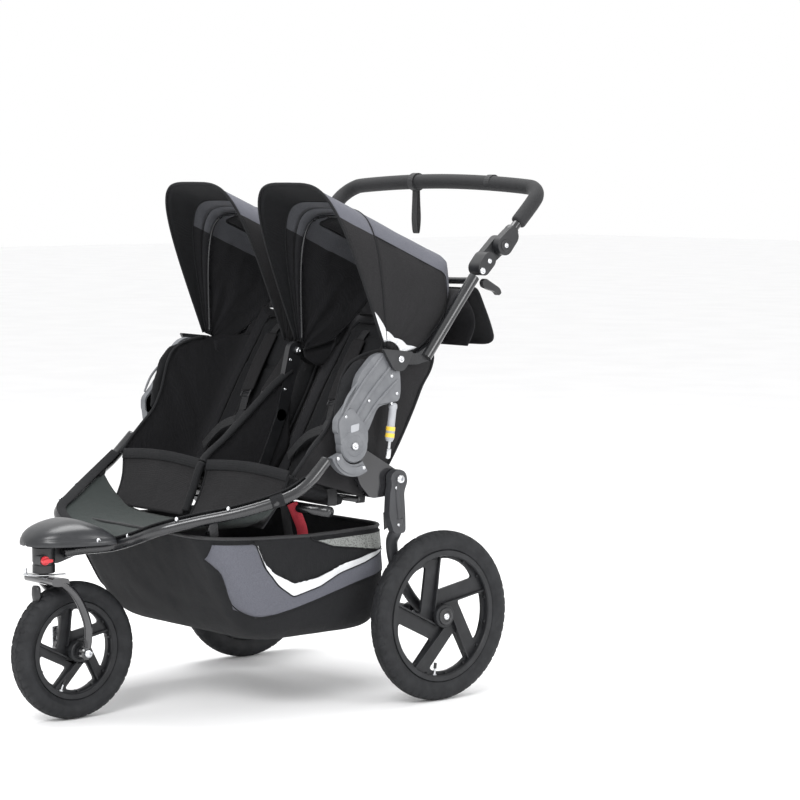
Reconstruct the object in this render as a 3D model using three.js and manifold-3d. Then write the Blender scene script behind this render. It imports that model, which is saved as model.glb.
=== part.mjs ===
// Double jogging stroller: three air-tyre wheels, a tubular frame that folds, two seats side by side.
// Millimetres, +Z up, front of the stroller towards -Y, its left-hand side towards +X.
// The pieces are drawn from the ground point under the rear axle, then the whole group is
// moved along Y so that its origin is the middle of its box, on the ground.

import * as THREE from 'three';
import { mergeVertices } from 'three/addons/utils/BufferGeometryUtils.js';
import Module from 'manifold-3d';

const wasm = await Module();
wasm.setup();

// ---------------------------------------------------------------- driving dimensions

const REAR_RADIUS = 195;            // 16 inch tyre
const FRONT_RADIUS = 153;           // 12.5 inch tyre
const REAR_TYRE_WIDTH = 46;
const FRONT_TYRE_WIDTH = 54;
const TYRE_HEIGHT = 43;             // from the bead to the tread
const WHEELBASE = 757;
const HALF_TRACK = 365;             // rear wheel centre from the middle plane
const WHEEL_SIDES = 32;             // the tyre's facets, one of them flat on the ground

const STEER_Y = -830;               // the front fork swivels about this upright line
const CANOPY_HINGE = [-133, 789];   // Y, Z: the frame folds and the canopies turn about this line
const MAIN_PIVOT = [-260, 602];     // Y, Z: the suspension link turns about this line
const LEG_PIVOT = [-130, 519];      // Y, Z: the rear legs fold about this line
const SHOCK_TOP = [-142, 679];
const SHOCK_LOW = [-158, 566];
const SEAT_PIVOT = [-196, 472];
const KNUCKLE_PIVOT = [193, 1036];  // Y, Z: the handlebar tilts about this line

const PLATE = [358, 380];           // X of the side plates, inner and outer face
const LEG = [359, 379];             // X of the rear legs' upper castings
const LINK = [341.5, 357.5];        // X of the suspension links
const ARM = [344, 357.4];           // X of the upper tubes' hinge arms
const TUBE_RADIUS = 13;
const GAP = 0.3;                    // clearance between touching pieces

const GRIP_RADIUS = 18;
const GRIP_TOP = [332, 1181];       // Y, Z of the middle of the handlebar
const FRONT_REACH = -WHEELBASE - FRONT_RADIUS;
const STRAP_RADIUS = 22;            // the wrist strap's band round the grip
const STRAP_CENTRE = [GRIP_TOP[0] - 0.6, GRIP_TOP[1] - 1.6];
const REAR_REACH = STRAP_CENTRE[0] + STRAP_RADIUS;

// ---------------------------------------------------------------- materials

const material = (color, roughness, metalness = 0) =>
  new THREE.MeshStandardMaterial({ color, roughness, metalness });

const rubber = material(0x1c1d1f, 0.85);
const moulded = material(0x17181a, 0.5);
const greyPlastic = material(0x55585c, 0.55);
const gloss = material(0x121315, 0.25, 0.3);
const blackTube = material(0x141516, 0.35, 0.4);
const castGrey = material(0x3c3f43, 0.5, 0.4);
const silver = material(0xb9bcc0, 0.3, 0.9);
const foam = material(0x1a1a1c, 0.95);
const fabric = material(0x1b1b1e, 0.95);
const greyFabric = material(0x45464b, 0.95);
const red = material(0xb3202a, 0.45);

// ---------------------------------------------------------------- solids

/** A solid for joining and cutting, from any closed geometry. */
function solid(geometry) {
  const plain = geometry.clone();
  plain.deleteAttribute('normal');
  plain.deleteAttribute('uv');
  const merged = mergeVertices(plain, 1e-3);
  const vertProperties = new Float32Array(merged.attributes.position.array);
  const triVerts = new Uint32Array(merged.index.array);
  return new wasm.Manifold(new wasm.Mesh({ numProp: 3, vertProperties, triVerts }));
}

function geometryOf(manifold) {
  const mesh = manifold.getMesh();
  const geometry = new THREE.BufferGeometry();
  geometry.setAttribute('position', new THREE.BufferAttribute(mesh.vertProperties, 3));
  geometry.setIndex(new THREE.BufferAttribute(mesh.triVerts, 1));
  geometry.computeVertexNormals();
  return geometry;
}

const join = (...pieces) => geometryOf(pieces.map(solid).reduce((whole, next) => whole.add(next)));

const cut = (piece, ...tools) =>
  geometryOf(tools.map(solid).reduce((whole, tool) => whole.subtract(tool), solid(piece)));

/** The same piece on the stroller's right-hand side. */
function mirrored(geometry) {
  const copy = geometry.index ? geometry.toNonIndexed() : geometry.clone();
  const positions = copy.attributes.position;
  const flipped = new Float32Array(positions.count * 3);
  for (let i = 0; i < positions.count; i += 3) {
    for (const [to, from] of [[0, 0], [1, 2], [2, 1]]) {
      flipped[(i + to) * 3] = -positions.getX(i + from);
      flipped[(i + to) * 3 + 1] = positions.getY(i + from);
      flipped[(i + to) * 3 + 2] = positions.getZ(i + from);
    }
  }
  const result = new THREE.BufferGeometry();
  result.setAttribute('position', new THREE.BufferAttribute(flipped, 3));
  result.computeVertexNormals();
  return result;
}

/** A block between two opposite corners. */
function block([x0, y0, z0], [x1, y1, z1]) {
  const geometry = new THREE.BoxGeometry(x1 - x0, y1 - y0, z1 - z0);
  return geometry.translate((x0 + x1) / 2, (y0 + y1) / 2, (z0 + z1) / 2);
}

const flat = (points) => new THREE.Shape(points.map(([u, v]) => new THREE.Vector2(u, v)));

/** A flat piece: an outline in Y and Z, from one X to another. */
function plate(outline, [x0, x1]) {
  const shape = outline instanceof THREE.Shape ? outline : flat(outline);
  const geometry = new THREE.ExtrudeGeometry(shape, {
    depth: x1 - x0,
    bevelEnabled: false,
    curveSegments: 4,
  });
  const turn = new THREE.Matrix4().makeBasis(
    new THREE.Vector3(0, 1, 0),
    new THREE.Vector3(0, 0, 1),
    new THREE.Vector3(1, 0, 0),
  );
  return geometry.applyMatrix4(turn).translate(x0, 0, 0);
}

/** A round pin along X through [y, z]. */
function pin([y, z], radius, [x0, x1], sides = 12) {
  const geometry = new THREE.CylinderGeometry(radius, radius, x1 - x0, sides);
  return geometry.rotateZ(Math.PI / 2).translate((x0 + x1) / 2, y, z);
}

/** An outline round two circles, in Y and Z. */
function lobe([y0, z0], r0, [y1, z1], r1) {
  const reach = Math.hypot(y1 - y0, z1 - z0);
  const along = Math.atan2(z1 - z0, y1 - y0);
  const lean = Math.acos((r0 - r1) / reach);
  const shape = new THREE.Shape();
  shape.absarc(y1, z1, r1, along - lean, along + lean, false);
  shape.absarc(y0, z0, r0, along + lean, along - lean + 2 * Math.PI, false);
  return shape;
}

function ringPoints(radius, sides) {
  const points = [];
  for (let i = 0; i < sides; i++) {
    const angle = ((i + 0.5) / sides) * 2 * Math.PI;
    points.push(new THREE.Vector2(radius * Math.cos(angle), radius * Math.sin(angle)));
  }
  return points;
}

/** A tube, or with a bore a pipe, along a smooth line through the points. */
function tube(points, radius, { sides = 10, steps = 12, bore = 0 } = {}) {
  const section = new THREE.Shape(ringPoints(radius, sides));
  if (bore) section.holes.push(new THREE.Path(ringPoints(bore, sides)));
  const line = points.map((point) => new THREE.Vector3(...point));
  const extrudePath =
    line.length === 2 ? new THREE.LineCurve3(...line) : new THREE.CatmullRomCurve3(line);
  return new THREE.ExtrudeGeometry(section, {
    steps: line.length === 2 ? 1 : steps,
    bevelEnabled: false,
    extrudePath,
  });
}

/** A ring about an axle along X, from its [radius, x] outline; radii are across the flats. */
function turned(outline, sides) {
  const stretch = 1 / Math.cos(Math.PI / sides);
  const points = outline.map(([radius, x]) => new THREE.Vector2(radius * stretch, x));
  return new THREE.LatheGeometry(points, sides, Math.PI / sides).rotateZ(-Math.PI / 2);
}

function indexed(positions, index) {
  const geometry = new THREE.BufferGeometry();
  geometry.setAttribute('position', new THREE.Float32BufferAttribute(positions, 3));
  geometry.setIndex(index);
  geometry.computeVertexNormals();
  return geometry;
}

/** A closed skin through rings of points; the rings run anticlockwise seen from the last one. */
function loft(rings) {
  const count = rings[0].length;
  const index = [];
  for (let r = 0; r + 1 < rings.length; r++) {
    for (let i = 0; i < count; i++) {
      const a = r * count + i;
      const b = r * count + ((i + 1) % count);
      index.push(a, b, b + count, a, b + count, a + count);
    }
  }
  const last = (rings.length - 1) * count;
  for (let i = 1; i + 1 < count; i++) {
    index.push(0, i + 1, i);
    index.push(last, last + i, last + i + 1);
  }
  return indexed(rings.flat(2), index);
}

/** A thin skin between two grids of points, outer and inner, closed round its four edges. */
function skin(outer, inner) {
  const rows = outer.length;
  const columns = outer[0].length;
  const positions = [...outer.flat(2), ...inner.flat(2)];
  const at = (side, r, c) => side * rows * columns + r * columns + c;
  const index = [];
  const quad = (a, b, c, d) => index.push(a, b, c, a, c, d);
  for (let r = 0; r + 1 < rows; r++) {
    for (let c = 0; c + 1 < columns; c++) {
      quad(at(0, r, c), at(0, r, c + 1), at(0, r + 1, c + 1), at(0, r + 1, c));
      quad(at(1, r, c), at(1, r + 1, c), at(1, r + 1, c + 1), at(1, r, c + 1));
    }
    quad(at(0, r, 0), at(0, r + 1, 0), at(1, r + 1, 0), at(1, r, 0));
    const c = columns - 1;
    quad(at(0, r, c), at(1, r, c), at(1, r + 1, c), at(0, r + 1, c));
  }
  for (let c = 0; c + 1 < columns; c++) {
    quad(at(0, 0, c), at(1, 0, c), at(1, 0, c + 1), at(0, 0, c + 1));
    const r = rows - 1;
    quad(at(0, r, c), at(0, r, c + 1), at(1, r, c + 1), at(1, r, c));
  }
  return indexed(positions, index);
}

/** The point at a distance and angle (degrees from +Y towards +Z) from a [y, z] point. */
function polar([y, z], distance, degrees) {
  const angle = THREE.MathUtils.degToRad(degrees);
  return [y + distance * Math.cos(angle), z + distance * Math.sin(angle)];
}

// ---------------------------------------------------------------- the assembly

const stroller = new THREE.Group();
stroller.position.y = -(FRONT_REACH + REAR_REACH) / 2;

function add(name, geometry, look, [x, y, z] = [0, 0, 0]) {
  const mesh = new THREE.Mesh(geometry, look.clone());
  mesh.name = name;
  mesh.position.set(x, y, z);
  stroller.add(mesh);
}

/** The same piece on both sides, drawn on the left (+X) side. */
function addPair(name, geometry, look) {
  add(`${name}_left`, geometry, look);
  add(`${name}_right`, mirrored(geometry), look);
}

// ---------------------------------------------------------------- wheels

function tyre(radius, width) {
  const half = width / 2;
  const bead = radius - TYRE_HEIGHT;
  const outline = [
    [bead, -half * 0.62],
    [radius - TYRE_HEIGHT * 0.72, -half * 0.92],
    [radius - TYRE_HEIGHT * 0.42, -half],
    [radius - TYRE_HEIGHT * 0.14, -half * 0.74],
    [radius, -half * 0.28],
    [radius, half * 0.28],
    [radius - TYRE_HEIGHT * 0.14, half * 0.74],
    [radius - TYRE_HEIGHT * 0.42, half],
    [radius - TYRE_HEIGHT * 0.72, half * 0.92],
    [bead, half * 0.62],
  ];
  return turned([...outline, outline[0]], WHEEL_SIDES);
}

/** A moulded wheel: rim, five leaning spokes and a hub with a through bore. */
function rim(radius, hubRadius, [hubIn, hubOut], boreRadius) {
  const bead = radius - TYRE_HEIGHT - GAP;
  const inside = bead - 13;
  const band = [[inside, -13], [bead, -15], [bead, 15], [inside, 13]];
  const hub = [[boreRadius, hubIn], [hubRadius, hubIn], [hubRadius, hubOut], [boreRadius, hubOut]];
  const pieces = [
    turned([...band, band[0]], WHEEL_SIDES),
    turned([...hub, hub[0]], 16),
  ];
  const spokeCount = 5;
  for (let i = 0; i < spokeCount; i++) {
    const spoke = [
      [-8, hubRadius - 6],
      [8, hubRadius - 6],
      [30, inside + 5],
      [13, inside + 7],
      [-1, hubRadius + 42],
      [-20, inside + 6],
      [-34, inside + 3],
    ];
    pieces.push(plate(spoke, [-9, 9]).rotateX((i / spokeCount) * 2 * Math.PI));
  }
  return join(...pieces);
}

const AXLE_RADIUS = 6;
const BORE_RADIUS = 6.6;

add('front_tire', tyre(FRONT_RADIUS, FRONT_TYRE_WIDTH), rubber, [0, -WHEELBASE, FRONT_RADIUS]);
add('front_rim', rim(FRONT_RADIUS, 20, [-36, 36], BORE_RADIUS), moulded,
  [0, -WHEELBASE, FRONT_RADIUS]);
for (const [side, sign] of [['left', 1], ['right', -1]]) {
  const centre = [sign * HALF_TRACK, 0, REAR_RADIUS];
  const hub = rim(REAR_RADIUS, 27, [-38, 25], BORE_RADIUS);
  add(`rear_tire_${side}`, tyre(REAR_RADIUS, REAR_TYRE_WIDTH), rubber, centre);
  add(`rear_rim_${side}`, sign > 0 ? hub : mirrored(hub), moulded, centre);
}

// ---------------------------------------------------------------- front end

const FORK_X = 52;
const FORK_LEG_RADIUS = 9.5;
const CROWN_Z = [307, 326];
const STEERER_RADIUS = 11;

function fork() {
  const leg = (side) => tube([
    [side * 46, STEER_Y + 12, 317],
    [side * FORK_X, STEER_Y + 49, 281],
    [side * FORK_X, STEER_Y + 76, 225],
    [side * FORK_X, STEER_Y + 79, 185],
    [side * FORK_X, -WHEELBASE, FRONT_RADIUS - 3],
  ], FORK_LEG_RADIUS, { sides: 8, steps: 12 });
  const foot = (side) => pin([-WHEELBASE, FRONT_RADIUS], 14,
    [side * FORK_X - FORK_LEG_RADIUS, side * FORK_X + FORK_LEG_RADIUS], 14);
  const crown = block([-56, STEER_Y - 12, CROWN_Z[0]], [56, STEER_Y + 28, CROWN_Z[1]]);
  const steerer = new THREE.CylinderGeometry(STEERER_RADIUS, STEERER_RADIUS, 52, 14)
    .rotateX(Math.PI / 2)
    .translate(0, STEER_Y, CROWN_Z[1] + 20);
  const whole = join(crown, steerer, leg(1), leg(-1), foot(1), foot(-1));
  return cut(whole, pin([-WHEELBASE, FRONT_RADIUS], BORE_RADIUS, [-80, 80], 14));
}

function frontAxle() {
  const centre = [-WHEELBASE, FRONT_RADIUS];
  return join(
    pin(centre, AXLE_RADIUS, [-64, 64]),
    pin(centre, 9.5, [62, 68], 6),
  );
}

/** The quick-release lever: it hangs on the axle's right-hand end and swings outwards. */
function frontLever() {
  const lever = [
    [-WHEELBASE - 9, FRONT_RADIUS - 3],
    [-WHEELBASE + 9, FRONT_RADIUS - 3],
    [-WHEELBASE + 7, FRONT_RADIUS + 44],
    [-WHEELBASE - 7, FRONT_RADIUS + 44],
  ];
  return plate(lever, [-72, -66]);
}

add('fork', fork(), gloss);
add('front_axle', frontAxle(), silver);
add('front_release_lever', frontLever(), silver);

const HOUSING_RADIUS = 25;
const HOUSING_Z = [332, 390];

/** The head housing: the fork's steerer turns in its bore; a bracket runs back between the tubes. */
function headHousing() {
  const [low, high] = HOUSING_Z;
  const upright = (radius, z0, z1) => new THREE.CylinderGeometry(radius, radius, z1 - z0, 16)
    .rotateX(Math.PI / 2)
    .translate(0, STEER_Y, (z0 + z1) / 2);
  const whole = join(
    upright(HOUSING_RADIUS, low, high),
    block([-14, STEER_Y + 10, 362], [14, -700, high]),
    block([0, STEER_Y - 26, 352], [26, STEER_Y - 4, 374]),
  );
  return cut(whole, upright(STEERER_RADIUS + 1, low - 5, high - 12));
}

/** The swivel lock: a red turn-knob on the left of the head housing. */
function lockKnob() {
  const centre = [STEER_Y - 15, 363];
  return join(
    pin(centre, 10, [26.4, 33], 12),
    block([32, centre[0] - 13, centre[1] - 4], [41, centre[0] + 13, centre[1] + 4]),
  );
}

/** The domed nose over the head housing, open below and behind. */
function noseCover() {
  // Y, half width and top of each station from the tip backwards
  const stations = [
    [-872, 14, 404],
    [-864, 38, 415],
    [-842, 60, 430],
    [-805, 78, 441],
    [-765, 90, 444],
    [-728, 96, 432],
    [-704, 96, 418],
  ];
  const bottom = 394.5;
  const wall = 4;
  const segments = 12;
  const ring = (y, half, top, base) => {
    const points = [];
    for (let i = segments; i >= 0; i--) {
      const angle = (i / segments) * Math.PI;
      const across = Math.sign(Math.cos(angle)) * Math.abs(Math.cos(angle)) ** 0.8;
      points.push([half * across, y, base + (top - base) * Math.sin(angle) ** 0.8]);
    }
    return points;
  };
  const outer = stations.map(([y, half, top]) => ring(y, half, top, bottom));
  const last = stations.length - 1;
  const inner = stations.slice(1).map(([y, half, top], i) => {
    const back = i === last - 1 ? 6 : 0;
    return ring(y + back, half - wall, top - wall, bottom - wall);
  });
  return cut(loft(outer), loft(inner));
}

add('head_housing', headHousing(), moulded);
add('swivel_lock_knob', lockKnob(), red);
add('nose_cover', noseCover(), moulded);

// ---------------------------------------------------------------- lower frame

/** One side of the lower frame, from the head housing round to the main pivot. */
const SIDE_TUBE = [
  [28, -796, 378],
  [32, -745, 381],
  [66, -697, 386],
  [128, -678, 405],
  [196, -660, 430],
  [245, -600, 449],
  [307, -520, 470],
  [356, -440, 498],
  [370, -390, 526],
  [371, -334, 576],
];
addPair('side_tube', tube(SIDE_TUBE, TUBE_RADIUS, { sides: 8, steps: 24 }), blackTube);

/** The crescent-shaped bracket under the main pivot. */
function hingeBracket() {
  const outline = new THREE.Shape();
  const rad = THREE.MathUtils.degToRad;
  outline.absarc(...MAIN_PIVOT, 68, rad(200), rad(302), false);
  outline.absarc(...MAIN_PIVOT, 41, rad(300), rad(202), true);
  return plate(outline, [362, 379]);
}
addPair('hinge_bracket', hingeBracket(), greyPlastic);

/** The ribbed side plate, with the canopy bolt's boss on its upper end. */
function sidePlate() {
  const panel = plate([
    [-308, 628], [-307, 663], [-294, 672], [-256, 711], [-243, 755],
    [-192, 800], [-168, 806], [-126, 764], [-123, 719], [-128, 696], [-190, 688], [-222, 625],
  ], PLATE);
  const boss = plate([[-182, 812], [-98, 802], [-124, 768], [-152, 768]], [379, 388]);
  const bossFoot = plate([[-160, 800], [-126, 800], [-120, 770], [-160, 770]], PLATE);
  const ribs = [0, 1, 2].map((i) => plate([
    [-296 + i * 34, 662 + i * 36],
    [-288 + i * 34, 664 + i * 36],
    [-226 + i * 26, 700 + i * 24],
    [-230 + i * 26, 708 + i * 24],
  ], [379, 383]));
  const whole = join(
    panel,
    boss,
    bossFoot,
    ...ribs,
    pin(MAIN_PIVOT, 38, PLATE, 20),
    pin(CANOPY_HINGE, 7, [379, 391]),
    pin([-151, 767], 5, [379, 385], 8),
    pin([-295, 659], 5, [379, 384], 8),
  );
  return cut(whole, pin(MAIN_PIVOT, 8, [350, 400]));
}
addPair('side_plate', sidePlate(), greyPlastic);

add('front_cross_tube', tube([
  [-256, -560, 444],
  [-243, -560, 418],
  [-214, -560, 400],
  [0, -560, 397],
  [214, -560, 400],
  [243, -560, 418],
  [256, -560, 444],
], 9, { sides: 8, steps: 20 }), blackTube);
add('seat_cross_tube', tube([[-340, -300, 455], [340, -300, 455]], 12), blackTube);

/** The post between the seats that carries the canopies' inner hinges. */
add('center_post', join(
  plate(lobe(CANOPY_HINGE, 20, [-176, 640], 14), [-8, 8]),
  plate(lobe([-176, 640], 14, [-258, 462], 14), [-8, 8]),
  pin(CANOPY_HINGE, 9, [-17, 17]),
), moulded);

// ---------------------------------------------------------------- rear suspension and wheels

/** The link from the main pivot to the leg pivot, with its two pins. */
function suspensionLink() {
  return join(
    plate(lobe(MAIN_PIVOT, 20, LEG_PIVOT, 19), LINK),
    plate([[-244, 574], [-228, 512], [-196, 478], [-150, 480], [-130, 519]], LINK),
    pin(MAIN_PIVOT, 7.6, [345, 386]),
    pin(LEG_PIVOT, 7.6, [345, 388]),
  );
}
addPair('suspension_link', suspensionLink(), gloss);

/** A rear leg: a cast upper end outside the link, curving in beside the wheel to the axle. */
function rearLeg() {
  const casting = plate([
    [-152, 538], [-118, 538], [-108, 512], [-117, 490], [-115, 440], [-114, 404],
    [-146, 404], [-160, 446], [-156, 488], [-152, 505],
  ], LEG);
  const lower = tube([
    [369, -132, 432],
    [360, -128, 400],
    [338, -119, 373],
    [324, -102, 330],
    [315, -80, 290],
    [312, -42, 238],
    [311, 0, REAR_RADIUS],
  ], 12, { sides: 8, steps: 12 });
  const whole = join(casting, lower, pin([0, REAR_RADIUS], 20, [299.5, 324], 16));
  return cut(whole, pin(LEG_PIVOT, 8, [350, 400]), pin([0, REAR_RADIUS], BORE_RADIUS, [280, 340]));
}
addPair('rear_leg', rearLeg(), castGrey);

add('rear_axle', join(
  pin([0, REAR_RADIUS], AXLE_RADIUS, [-392, 392]),
  pin([0, REAR_RADIUS], 12, [-299, 299]),
  pin([0, REAR_RADIUS], 11, [390.3, 394]),
  pin([0, REAR_RADIUS], 11, [-394, -390.3]),
), silver);

/** The parking brake's foot bar, hung on the axle. */
add('brake_pedal', cut(
  join(
    pin([0, REAR_RADIUS], 18, [-70, 70], 14),
    block([-60, 10, REAR_RADIUS + 2], [60, 72, REAR_RADIUS + 12]),
  ),
  pin([0, REAR_RADIUS], 12.8, [-90, 90], 12),
), moulded);

/** The shock absorber: its body swings under the plate and its rod slides in it. */
const SHOCK_X = 369;
const shockAlong = (share) => [
  SHOCK_X,
  SHOCK_TOP[0] + (SHOCK_LOW[0] - SHOCK_TOP[0]) * share,
  SHOCK_TOP[1] + (SHOCK_LOW[1] - SHOCK_TOP[1]) * share,
];
const shockTube = (from, to, radius, options) =>
  tube([shockAlong(from), shockAlong(to)], radius, options);
addPair('shock_body', shockTube(-0.1, 0.66, 10, { sides: 12, bore: 4.6 }), castGrey);
addPair('shock_rod', shockTube(0.3, 1, 4, { sides: 12 }), silver);

// ---------------------------------------------------------------- upper frame and handlebar

const UPPER_X = 357;

/** An upper tube with the flat arm that carries it on the canopy hinge line. */
function upperTube() {
  const shaft = tube([[UPPER_X, 112, 965], [UPPER_X, -20, 804], [UPPER_X, -34, 787]], TUBE_RADIUS,
    { steps: 4 });
  const arm = plate([
    [-133, 775], [-60, 772], [-20, 780], [2, 806], [-14, 820], [-60, 797], [-133, 803],
  ], ARM);
  return join(shaft, arm, pin(CANOPY_HINGE, 14, ARM, 14));
}
addPair('upper_tube', upperTube(), blackTube);

/** The lower half of each handlebar joint, fixed to the upper tube. */
function lowerKnuckle() {
  const inner = [337, 355.5];
  return cut(
    join(
      plate(lobe([130, 986], 18, KNUCKLE_PIVOT, 23), inner),
      plate(lobe([130, 986], 18, [146, 1003], 19), [337, 374]),
      pin([121, 976], 6, [373, 379], 8),
    ),
    pin(KNUCKLE_PIVOT, 6.6, [320, 400]),
    tube([[UPPER_X, 112.4, 965.5], [UPPER_X, 60, 902]], TUBE_RADIUS + 1),
  );
}
addPair('lower_knuckle', lowerKnuckle(), moulded);

add('back_crossbar', tube([
  [-336, 128, 962],
  [-318, 137, 955],
  [0, 141, 951],
  [318, 137, 955],
  [336, 128, 962],
], 8, { sides: 8, steps: 14 }), blackTube);

/** The upper half of each handlebar joint: it turns on the pivot pin and holds the bar's end. */
function handleKnuckle() {
  const outer = [356, 376];
  return join(
    plate(lobe(KNUCKLE_PIVOT, 23, [214, 1056], 20), outer),
    pin(KNUCKLE_PIVOT, 6, [338, 379]),
    pin([226, 1067], 17, [342, 375], 12),
  );
}
addPair('handle_knuckle', handleKnuckle(), moulded);

/** The handlebar's centre line, from one end to the other. */
const HALF_BAR = [
  [358, 246, 1086],
  [358, 292, 1131],
  [351, 312, 1150],
  [330, 325, 1164],
  [295, 329, 1170],
  [150, 331, 1178],
];
const barLine = (first) => [
  ...HALF_BAR.slice(first),
  [0, ...GRIP_TOP],
  ...HALF_BAR.slice(first).reverse().map(([x, y, z]) => [-x, y, z]),
];
const GRIP_BORE = 12.6;
const BAR_STEPS = 30;
add('handlebar_tube', tube(barLine(0), GRIP_BORE - 0.6, { sides: 8, steps: BAR_STEPS }), blackTube);
add('handlebar_grip', tube(barLine(0), GRIP_RADIUS, {
  sides: 8,
  steps: BAR_STEPS,
  bore: GRIP_BORE,
}), foam);

/** The wrist strap: a band round the grip with a hanging loop of webbing. */
function wristStrap() {
  const x = [-110, -92];
  const [y, z] = STRAP_CENTRE;
  const hanging = plate([[y - 3, z - 19.5], [y + 3, z - 19.5], [y + 5, z - 126], [y - 5, z - 126]], x);
  const band = pin(STRAP_CENTRE, STRAP_RADIUS, x, 16);
  return cut(join(band, hanging), pin(STRAP_CENTRE, STRAP_RADIUS - 2.4, [-120, -80], 16));
}
add('wrist_strap', wristStrap(), fabric);

/** The fold release levers under the knuckles, one for each hand. */
addPair('release_lever', join(
  plate([
    [127, 953], [135, 960], [160, 947], [178, 936], [183, 926], [176, 922], [168, 931],
    [148, 936], [129, 943],
  ], [359, 371]),
), moulded);

// ---------------------------------------------------------------- canopies

const CANOPY_CENTRE_X = 181;
const CANOPY_HALF_WIDTH = 160;
const CANOPY_WALL = 6;
const ARCH_POWER = 0.46;             // 1 is an ellipse, less is squarer
const REAR_EDGE = 32;               // degrees from +Y at the hinge line
const MID_BOW = 95;
const FRONT_RIM = 110;
const RIDGE_DISTANCE = 296;         // from the hinge line to the taut ridge
const RIDGE_ANGLE = 66.8;           // the direction in which the ridge is nearest

/** How far the ridge is from the hinge line in a direction, rounded down towards the rear edge. */
function ridge(degrees) {
  const taut = RIDGE_DISTANCE / Math.cos(THREE.MathUtils.degToRad(degrees - RIDGE_ANGLE));
  const corner = 276 + 3.4 * (degrees - REAR_EDGE);
  return Math.min(taut, corner);
}

/** An arch of canopy fabric in the plane at an angle about the hinge line. */
function arch(degrees, inset) {
  const points = [];
  const steps = 12;
  const start = 0.02;
  for (let i = 0; i <= steps; i++) {
    const t = (start + (1 - 2 * start) * (i / steps)) * Math.PI;
    const across = Math.sign(Math.cos(t)) * Math.abs(Math.cos(t)) ** ARCH_POWER;
    const x = CANOPY_CENTRE_X + (CANOPY_HALF_WIDTH - inset) * across;
    const rise = (ridge(degrees) - inset) * Math.sin(t) ** ARCH_POWER;
    points.push([x, ...polar(CANOPY_HINGE, rise, degrees)]);
  }
  return points;
}

/** Canopy fabric between two angles, as a thin shell. */
function canopyShell(from, to, steps, inset) {
  const angles = [];
  for (let i = 0; i <= steps; i++) angles.push(from + ((to - from) * i) / steps);
  return skin(
    angles.map((angle) => arch(angle, inset)),
    angles.map((angle) => arch(angle, inset + CANOPY_WALL)),
  );
}

addPair('canopy_front', canopyShell(MID_BOW, FRONT_RIM, 3, 0), fabric);
addPair('canopy_rear', canopyShell(REAR_EDGE, MID_BOW - 1, 6, CANOPY_WALL + 1), greyFabric);

/** The sprung wire bow that spreads each canopy, just inside its fabric. */
function canopyBow() {
  const inset = 2 * CANOPY_WALL + 9;
  return tube(arch(MID_BOW - 3, inset), 3.5, { sides: 6, steps: 20 });
}
addPair('canopy_bow', canopyBow(), blackTube);

// ---------------------------------------------------------------- seats

const SEAT_X = [22, 311];
const SEAT_BACK_LENGTH = 462;
const SEAT_BACK_ANGLE = 60;

/** A seat back with the wing of fabric on its outer side. */
function seatBack() {
  const half = 13;
  const bottom = polar(SEAT_PIVOT, 16, SEAT_BACK_ANGLE);
  const top = polar(SEAT_PIVOT, SEAT_BACK_LENGTH, SEAT_BACK_ANGLE);
  const ahead = (point, distance) => polar(point, distance, SEAT_BACK_ANGLE + 90);
  const cushion = [ahead(bottom, -half), ahead(top, -half), ahead(top, half), ahead(bottom, half)];
  const wing = [
    ahead(bottom, -half),
    ahead(top, -half),
    ahead(polar(SEAT_PIVOT, SEAT_BACK_LENGTH - 40, SEAT_BACK_ANGLE), 70),
    ahead(polar(SEAT_PIVOT, 150, SEAT_BACK_ANGLE), 105),
    ahead(polar(SEAT_PIVOT, 70, SEAT_BACK_ANGLE), 60),
    ahead(bottom, half),
  ];
  return join(plate(cushion, [SEAT_X[0], 318]), plate(wing, [314, 321]));
}
addPair('seat_back', seatBack(), fabric);

/** A seat base and the panel that drops from its front edge behind the calves. */
addPair('seat_base', plate([
  [-212, 446], [-214, 476], [-380, 540], [-400, 536], [-446, 430], [-434, 424],
  [-388, 496], [-374, 500],
], [SEAT_X[0] - 8, SEAT_X[1]]), fabric);

const HINGE_BAR_HALF = 311;
const HINGE_BAR_RADIUS = 7;
add('seat_hinge_bar', tube([
  [-HINGE_BAR_HALF, ...SEAT_PIVOT],
  [HINGE_BAR_HALF, ...SEAT_PIVOT],
], HINGE_BAR_RADIUS, { sides: 8 }), blackTube);

const FLOOR_UNDERSIDE = 411;
const FLOOR_THICKNESS = 7;

/** The footwell floor, slung between the lower tubes. */
function footwell() {
  const plan = flat([
    [-160, -636], [160, -636], [190, -588], [246, -512], [300, -454], [300, -444],
    [-300, -444], [-300, -454], [-246, -512], [-190, -588],
  ]);
  const sheet = new THREE.ExtrudeGeometry(plan, { depth: FLOOR_THICKNESS, bevelEnabled: false });
  return sheet.translate(0, 0, FLOOR_UNDERSIDE);
}
add('footwell', footwell(), greyFabric);

/** The padded bolster ahead of each side plate. */
const BOLSTER_SPAN = [343, 357];
addPair('side_bolster', plate([
  [-262, 640], [-226, 690], [-200, 734], [-214, 748], [-252, 748], [-274, 738], [-292, 700],
  [-300, 640], [-290, 634],
], BOLSTER_SPAN), fabric);

// ---------------------------------------------------------------- basket and rear pocket

const BASKET_WALL = 4;

/** A level ring of the basket: half width, front and rear, at a height, with round corners. */
function basketRing([half, front, rear, z], inset) {
  const corner = 45;
  const points = [];
  const centres = [
    [half - corner, rear - corner, 0],
    [-half + corner, rear - corner, 90],
    [-half + corner, front + corner, 180],
    [half - corner, front + corner, 270],
  ];
  for (const [cx, cy, from] of centres) {
    for (const turn of [0, 45, 90]) {
      const angle = THREE.MathUtils.degToRad(from + turn);
      points.push([
        cx + (corner - inset) * Math.cos(angle),
        cy + (corner - inset) * Math.sin(angle),
        z,
      ]);
    }
  }
  return points;
}

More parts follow.
